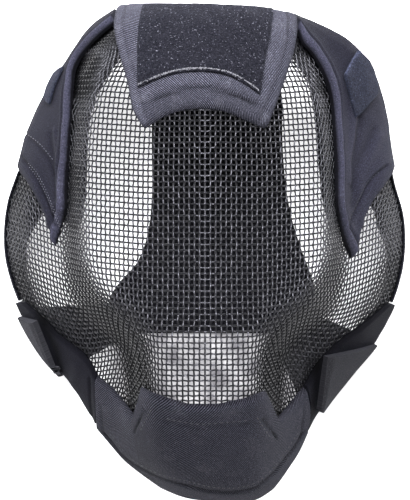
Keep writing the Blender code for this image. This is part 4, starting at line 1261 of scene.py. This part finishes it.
def make_strap(name, node, shape, tone):
    """Strap that lies on the head panel, climbs to the rim and folds round it as a tab."""
    lift = SEAT_GAP + JAW_THICKNESS + SEAT_GAP
    outer = rim_between(shape.rim, shape.rim_start_y, shape.rim_end_y, STRAP_STATIONS)
    inner = np.linspace(shape.tab[0], shape.tab[1], STRAP_STATIONS)
    grid = np.stack([inner, outer], axis=1)
    seat_z = PANEL_UNDERSIDE + PANEL_THICKNESS + SEAT_GAP + STRAP_THICKNESS
    ends = np.linspace(shape.panel_end[0], shape.panel_end[1], STRAP_STATIONS)

    def to_panel(i, start):
        end = np.array([*ends[i], seat_z])
        reach = np.linalg.norm(end - start)
        flat = (start - end) * np.array([1, 1, 0])
        flat /= np.linalg.norm(flat)
        leave = start - flat * reach * STRAP_LEAVES + UP
        arrive = end + flat * reach * STRAP_ARRIVES
        return [curved_between(start, leave, arrive, end, part)
                for part in np.linspace(0, 1, STRAP_RUN_POINTS)[1:]]

    def thickness(from_edge, from_rim):
        """The tab is a loop: it stands off the jaw at its free edge and closes at the rim."""
        from_loop = from_edge / (from_edge + from_rim)
        return STRAP_THICKNESS + TAB_LOOP_RISE * (1 - from_loop) ** 1.3 * min(1.0, 0.45 + from_edge / 3.5)

    # Painted light: the whole strap is scaled by its tone.
    strap, cut = lay_cloth(grid, lift, thickness, 16, Hem(STRAP_THICKNESS, STRAP_RETURN), to_panel,
                           shade=lambda points, from_edge: np.full(len(points), tone))
    finish_piece(strap, name, STRAP_CLOTH, "smooth_cloth", node)


# ---------------------------------------------------------------------------- stitches

def face_of(piece):
    """Finds the finished cloth's face under a point of the plane."""
    tree = BVHTree.FromObject(piece, bpy.context.evaluated_depsgraph_get())

    def find(x, y):
        place, normal, _, _ = tree.ray_cast(Vector((x * MM, y * MM, 0.3)), Vector((0, 0, -1)))
        if place is None:
            return None
        return np.array(place) / MM - LOWERED, np.array(normal)

    return find


def laid_over(places, rises, find):
    """Path over places of the plane, raised from the cloth; None where one has no cloth."""
    path = []
    for place, rise in zip(places, rises):
        found = find(*place)
        if found is None:
            return None
        path.append(found[0] + found[1] * rise)
    return path


STITCH_PARTS = [-0.5, -0.2, 0.2, 0.5]          # places along a stitch, from its middle
STITCH_RISES = [-0.30, 0.07, 0.07, -0.30]      # its ends go down into the cloth


def stitched(line, piece, pitch, length):
    """Paths of the stitches of a seam on a finished piece, along a line of the plane."""
    find = face_of(piece)
    run = lengths_along(line)
    columns = np.asarray(line, float).T
    paths = []
    for middle in np.arange(pitch / 2, run[-1], pitch):
        places = [[np.interp(middle + part * length, run, column) for column in columns]
                  for part in STITCH_PARTS]
        path = laid_over(places, STITCH_RISES, find)
        if path:
            paths.append(path)
    return paths


def loose_yarns(line, piece, count, length, turn, seed):
    """Paths of yarns that have come loose along a line: short, and turned from it at random."""
    random = np.random.default_rng(seed)
    find = face_of(piece)
    line = even_points(line, 60)
    paths = []
    for _ in range(count):
        at = random.integers(1, len(line) - 1)
        heading = np.arctan2(*(line[at + 1] - line[at - 1])[::-1]) + random.uniform(-turn, turn)
        reach = length * random.uniform(0.5, 1.2)
        rises = (-0.2, 0.25, 0.4, random.uniform(0.1, 0.6))
        forwards = np.array([np.cos(heading), np.sin(heading)])
        places = [line[at] + forwards * reach * (part - 0.5) for part in (0, 0.35, 0.7, 1)]
        path = laid_over(places, rises, find)
        if path:
            paths.append(path)
    return paths


STITCH_RADIUS = 0.15
CUP_STITCH_RADIUS = 0.18
YARN_RADIUS = 0.2
# The two rows below the fold of the left band, the second this far under the first.
LEFT_FOLD_ROW = [(-97.3, 48), (-93, 44), (-87.3, 35.5), (-81.8, 24), (-77.2, 13.4)]
LEFT_FOLD_ROW_SHIFTS = (0.0, 2.2)
LEFT_UPPER_ROW = [(-98, 64), (-89.5, 57.4), (-81.8, 48.6)]
RIGHT_HEM_ROW = [(95, 42.5), (88.6, 37.5), (84.3, 31), (80.9, 23.5), (76, 14)]


def stitch_chin_cup(cup):
    stitches = stitched(smooth_curve(CUP_HEM, 200), cup, 2.6, 1.8)
    stitches += stitched(smooth_curve(CUP_SEWN_LINE, 60), cup, 3.0, 2.0)
    for fold in CUP_FOLD_LINES:
        stitches += stitched(fold, cup, 2.4, 1.7)
    tubes("chin_cup_stitches", stitches, CUP_STITCH_RADIUS, 0, DARK_THREAD, "twill")


def stitch_side_bands(left, right):
    stitches = []
    for shift in LEFT_FOLD_ROW_SHIFTS:
        row = [(x, y - shift) for x, y in LEFT_FOLD_ROW]
        row[0] = (row[0][0] + shift * 0.3, row[0][1])     # the second starts further in, at the rim
        stitches += stitched(smooth_curve(row, 80), left, 1.7, 0.8)
    stitches += stitched(smooth_curve(LEFT_UPPER_ROW, 40), left, 1.9, 1.2)
    tubes("side_band_left_stitches", stitches, STITCH_RADIUS, 0, GREY_THREAD, "smooth_cloth")
    stitches = stitched(smooth_curve(RIGHT_HEM_ROW, 60), right, 1.9, 1.1)
    tubes("side_band_right_stitches", stitches, STITCH_RADIUS, 0, DARK_THREAD, "smooth_cloth")


def fray_forehead_loop(patch):
    """Yarns along the patch's lower edge, more of them and more tangled on its left half."""
    edge, outwards = on_shell(smooth_curve(PATCH_LOWER_EDGE, 60))
    edge = edge + outwards * (SEAT_GAP + PAD_THICKNESS + LOOP_GAP + LOOP_THICKNESS)
    edge = edge[:, :2] + (0.2, 0.9)
    yarns = loose_yarns(edge[:34], patch, 120, 1.5, 1.2, 5)
    yarns += loose_yarns(edge[30:-1], patch, 60, 1.5, 0.8, 6)
    tubes("forehead_loop_yarns", yarns, YARN_RADIUS, 0, FRAYED_THREAD, "loop_pile")


# ---------------------------------------------------------------------------- studio

def area_light(name, place, size, watts):
    """Area light that faces the mask."""
    bpy.ops.object.light_add(type="AREA", location=place,
                             rotation=(-Vector(place)).to_track_quat("-Z", "Y").to_euler())
    light = bpy.context.object
    light.name = name
    light.data.size = size
    light.data.energy = watts
    return light


# The studio's own lengths are metres. A grey, patchy oval of painted shadow lies on the table behind the
# chin.
SHADED_FLOOR = (0.0024, -0.066, 0.0)
SHADED_OVAL = (0.8, 1.0, 1.0)          # x is narrowed by this before the distance is taken
CAMERA_HEIGHT = 1.1
PICTURE_HALF_HEIGHT = 0.14125          # what half of the picture spans on the table
SENSOR_HEIGHT = 36.0                   # in millimetres, along the picture's longer side


def make_studio():
    select_none()
    bpy.ops.mesh.primitive_plane_add(size=8.0, location=(0, 0, 0))
    floor = bpy.context.object
    floor.name = "floor"
    material, nodes, links = start_material("pale_light_table")
    shader = nodes["Principled BSDF"]
    set_inputs(shader, Roughness=0.9, Emission_Strength=0.9)
    place = add_node(nodes, "ShaderNodeTexCoord").outputs["Object"]
    oval = add_node(nodes, "ShaderNodeMapping", in_Scale=SHADED_OVAL)
    links.new(place, oval.inputs["Vector"])
    from_chin = add_node(nodes, "ShaderNodeVectorMath", operation="DISTANCE")
    links.new(oval.outputs["Vector"], from_chin.inputs[0])
    from_chin.inputs[1].default_value = SHADED_FLOOR
    lit = add_node(nodes, "ShaderNodeMapRange", interpolation_type="SMOOTHSTEP", in_From_Min=0.041,
                   in_From_Max=0.052, in_To_Min=0.0, in_To_Max=1.0)
    links.new(from_chin.outputs["Value"], lit.inputs["Value"])
    patches = add_node(nodes, "ShaderNodeTexNoise", in_Scale=70.0, in_Detail=3.0, in_Roughness=0.6)
    links.new(place, patches.inputs["Vector"])
    shadow = shade_range(nodes, 0.35, 0.65, (0.15, 0.145, 0.16), (0.46, 0.455, 0.47))
    links.new(patches.outputs["Fac"], shadow.inputs["Fac"])
    # The oval is painted shadow in both the table's colour and its glow.
    glow = add_node(nodes, "ShaderNodeMix", data_type="RGBA")
    links.new(lit.outputs["Result"], glow.inputs["Factor"])
    links.new(shadow.outputs["Color"], glow.inputs[6])
    glow.inputs[7].default_value = (0.9, 0.9, 0.91, 1)
    links.new(glow.outputs[2], shader.inputs["Base Color"])
    links.new(glow.outputs[2], shader.inputs["Emission Color"])
    floor.data.materials.append(material)

    world = bpy.data.worlds.new("studio")
    world.use_nodes = True
    set_inputs(world.node_tree.nodes["Background"], Color=(1.0, 1.0, 1.0, 1), Strength=0.42)
    bpy.context.scene.world = world

    # The soft box lights cloth and table; the small lamp is what glints on the wires.
    soft_box = area_light("soft_box", (-0.1, 0.85, 1.6), size=1.0, watts=95)
    soft_box.visible_glossy = False
    glint = area_light("glint_lamp", (0.05, 0.25, 1.9), size=0.5, watts=92)
    glint.visible_diffuse = False
    bpy.context.scene.view_settings.view_transform = "Standard"

    camera = bpy.data.objects.new("camera", bpy.data.cameras.new("camera"))
    bpy.context.scene.collection.objects.link(camera)
    camera.location = (0.0, 0.0, CAMERA_HEIGHT)
    camera.data.sensor_width = SENSOR_HEIGHT       # Blender fits it to the longer side
    camera.data.lens = SENSOR_HEIGHT / 2 / (PICTURE_HALF_HEIGHT / CAMERA_HEIGHT)
    bpy.context.scene.camera = camera


make_studio()
make_woven_wires()
make_forehead_pad()
forehead_loop = make_forehead_loop()
band_left = make_side_band("side_band_left_cloth", "side_band_left", LEFT_BAND, 41)
band_right = make_side_band("side_band_right_cloth", "side_band_right", RIGHT_BAND, 51)
make_side_loop("side_loop_left_pile", "side_loop_left", LEFT_LOOP)
make_side_loop("side_loop_right_pile", "side_loop_right", RIGHT_LOOP)
make_ear_edge("ear_edge_left_tape", "ear_edge_left", LEFT_EAR)
make_ear_edge("ear_edge_right_tape", "ear_edge_right", RIGHT_EAR)
make_jaw("jaw_left_cloth", "jaw_left", LEFT_JAW, 61)
make_jaw("jaw_right_cloth", "jaw_right", RIGHT_JAW, 71)
cup = make_chin_cup()
make_head_panel()
# Painted light: the left tab is painted lighter than the right.
make_strap("strap_left_cloth", "strap_left", LEFT_STRAP, 1.7)
make_strap("strap_right_cloth", "strap_right", RIGHT_STRAP, 1.1)

stitch_chin_cup(cup)
stitch_side_bands(band_left, band_right)
fray_forehead_loop(forehead_loop)
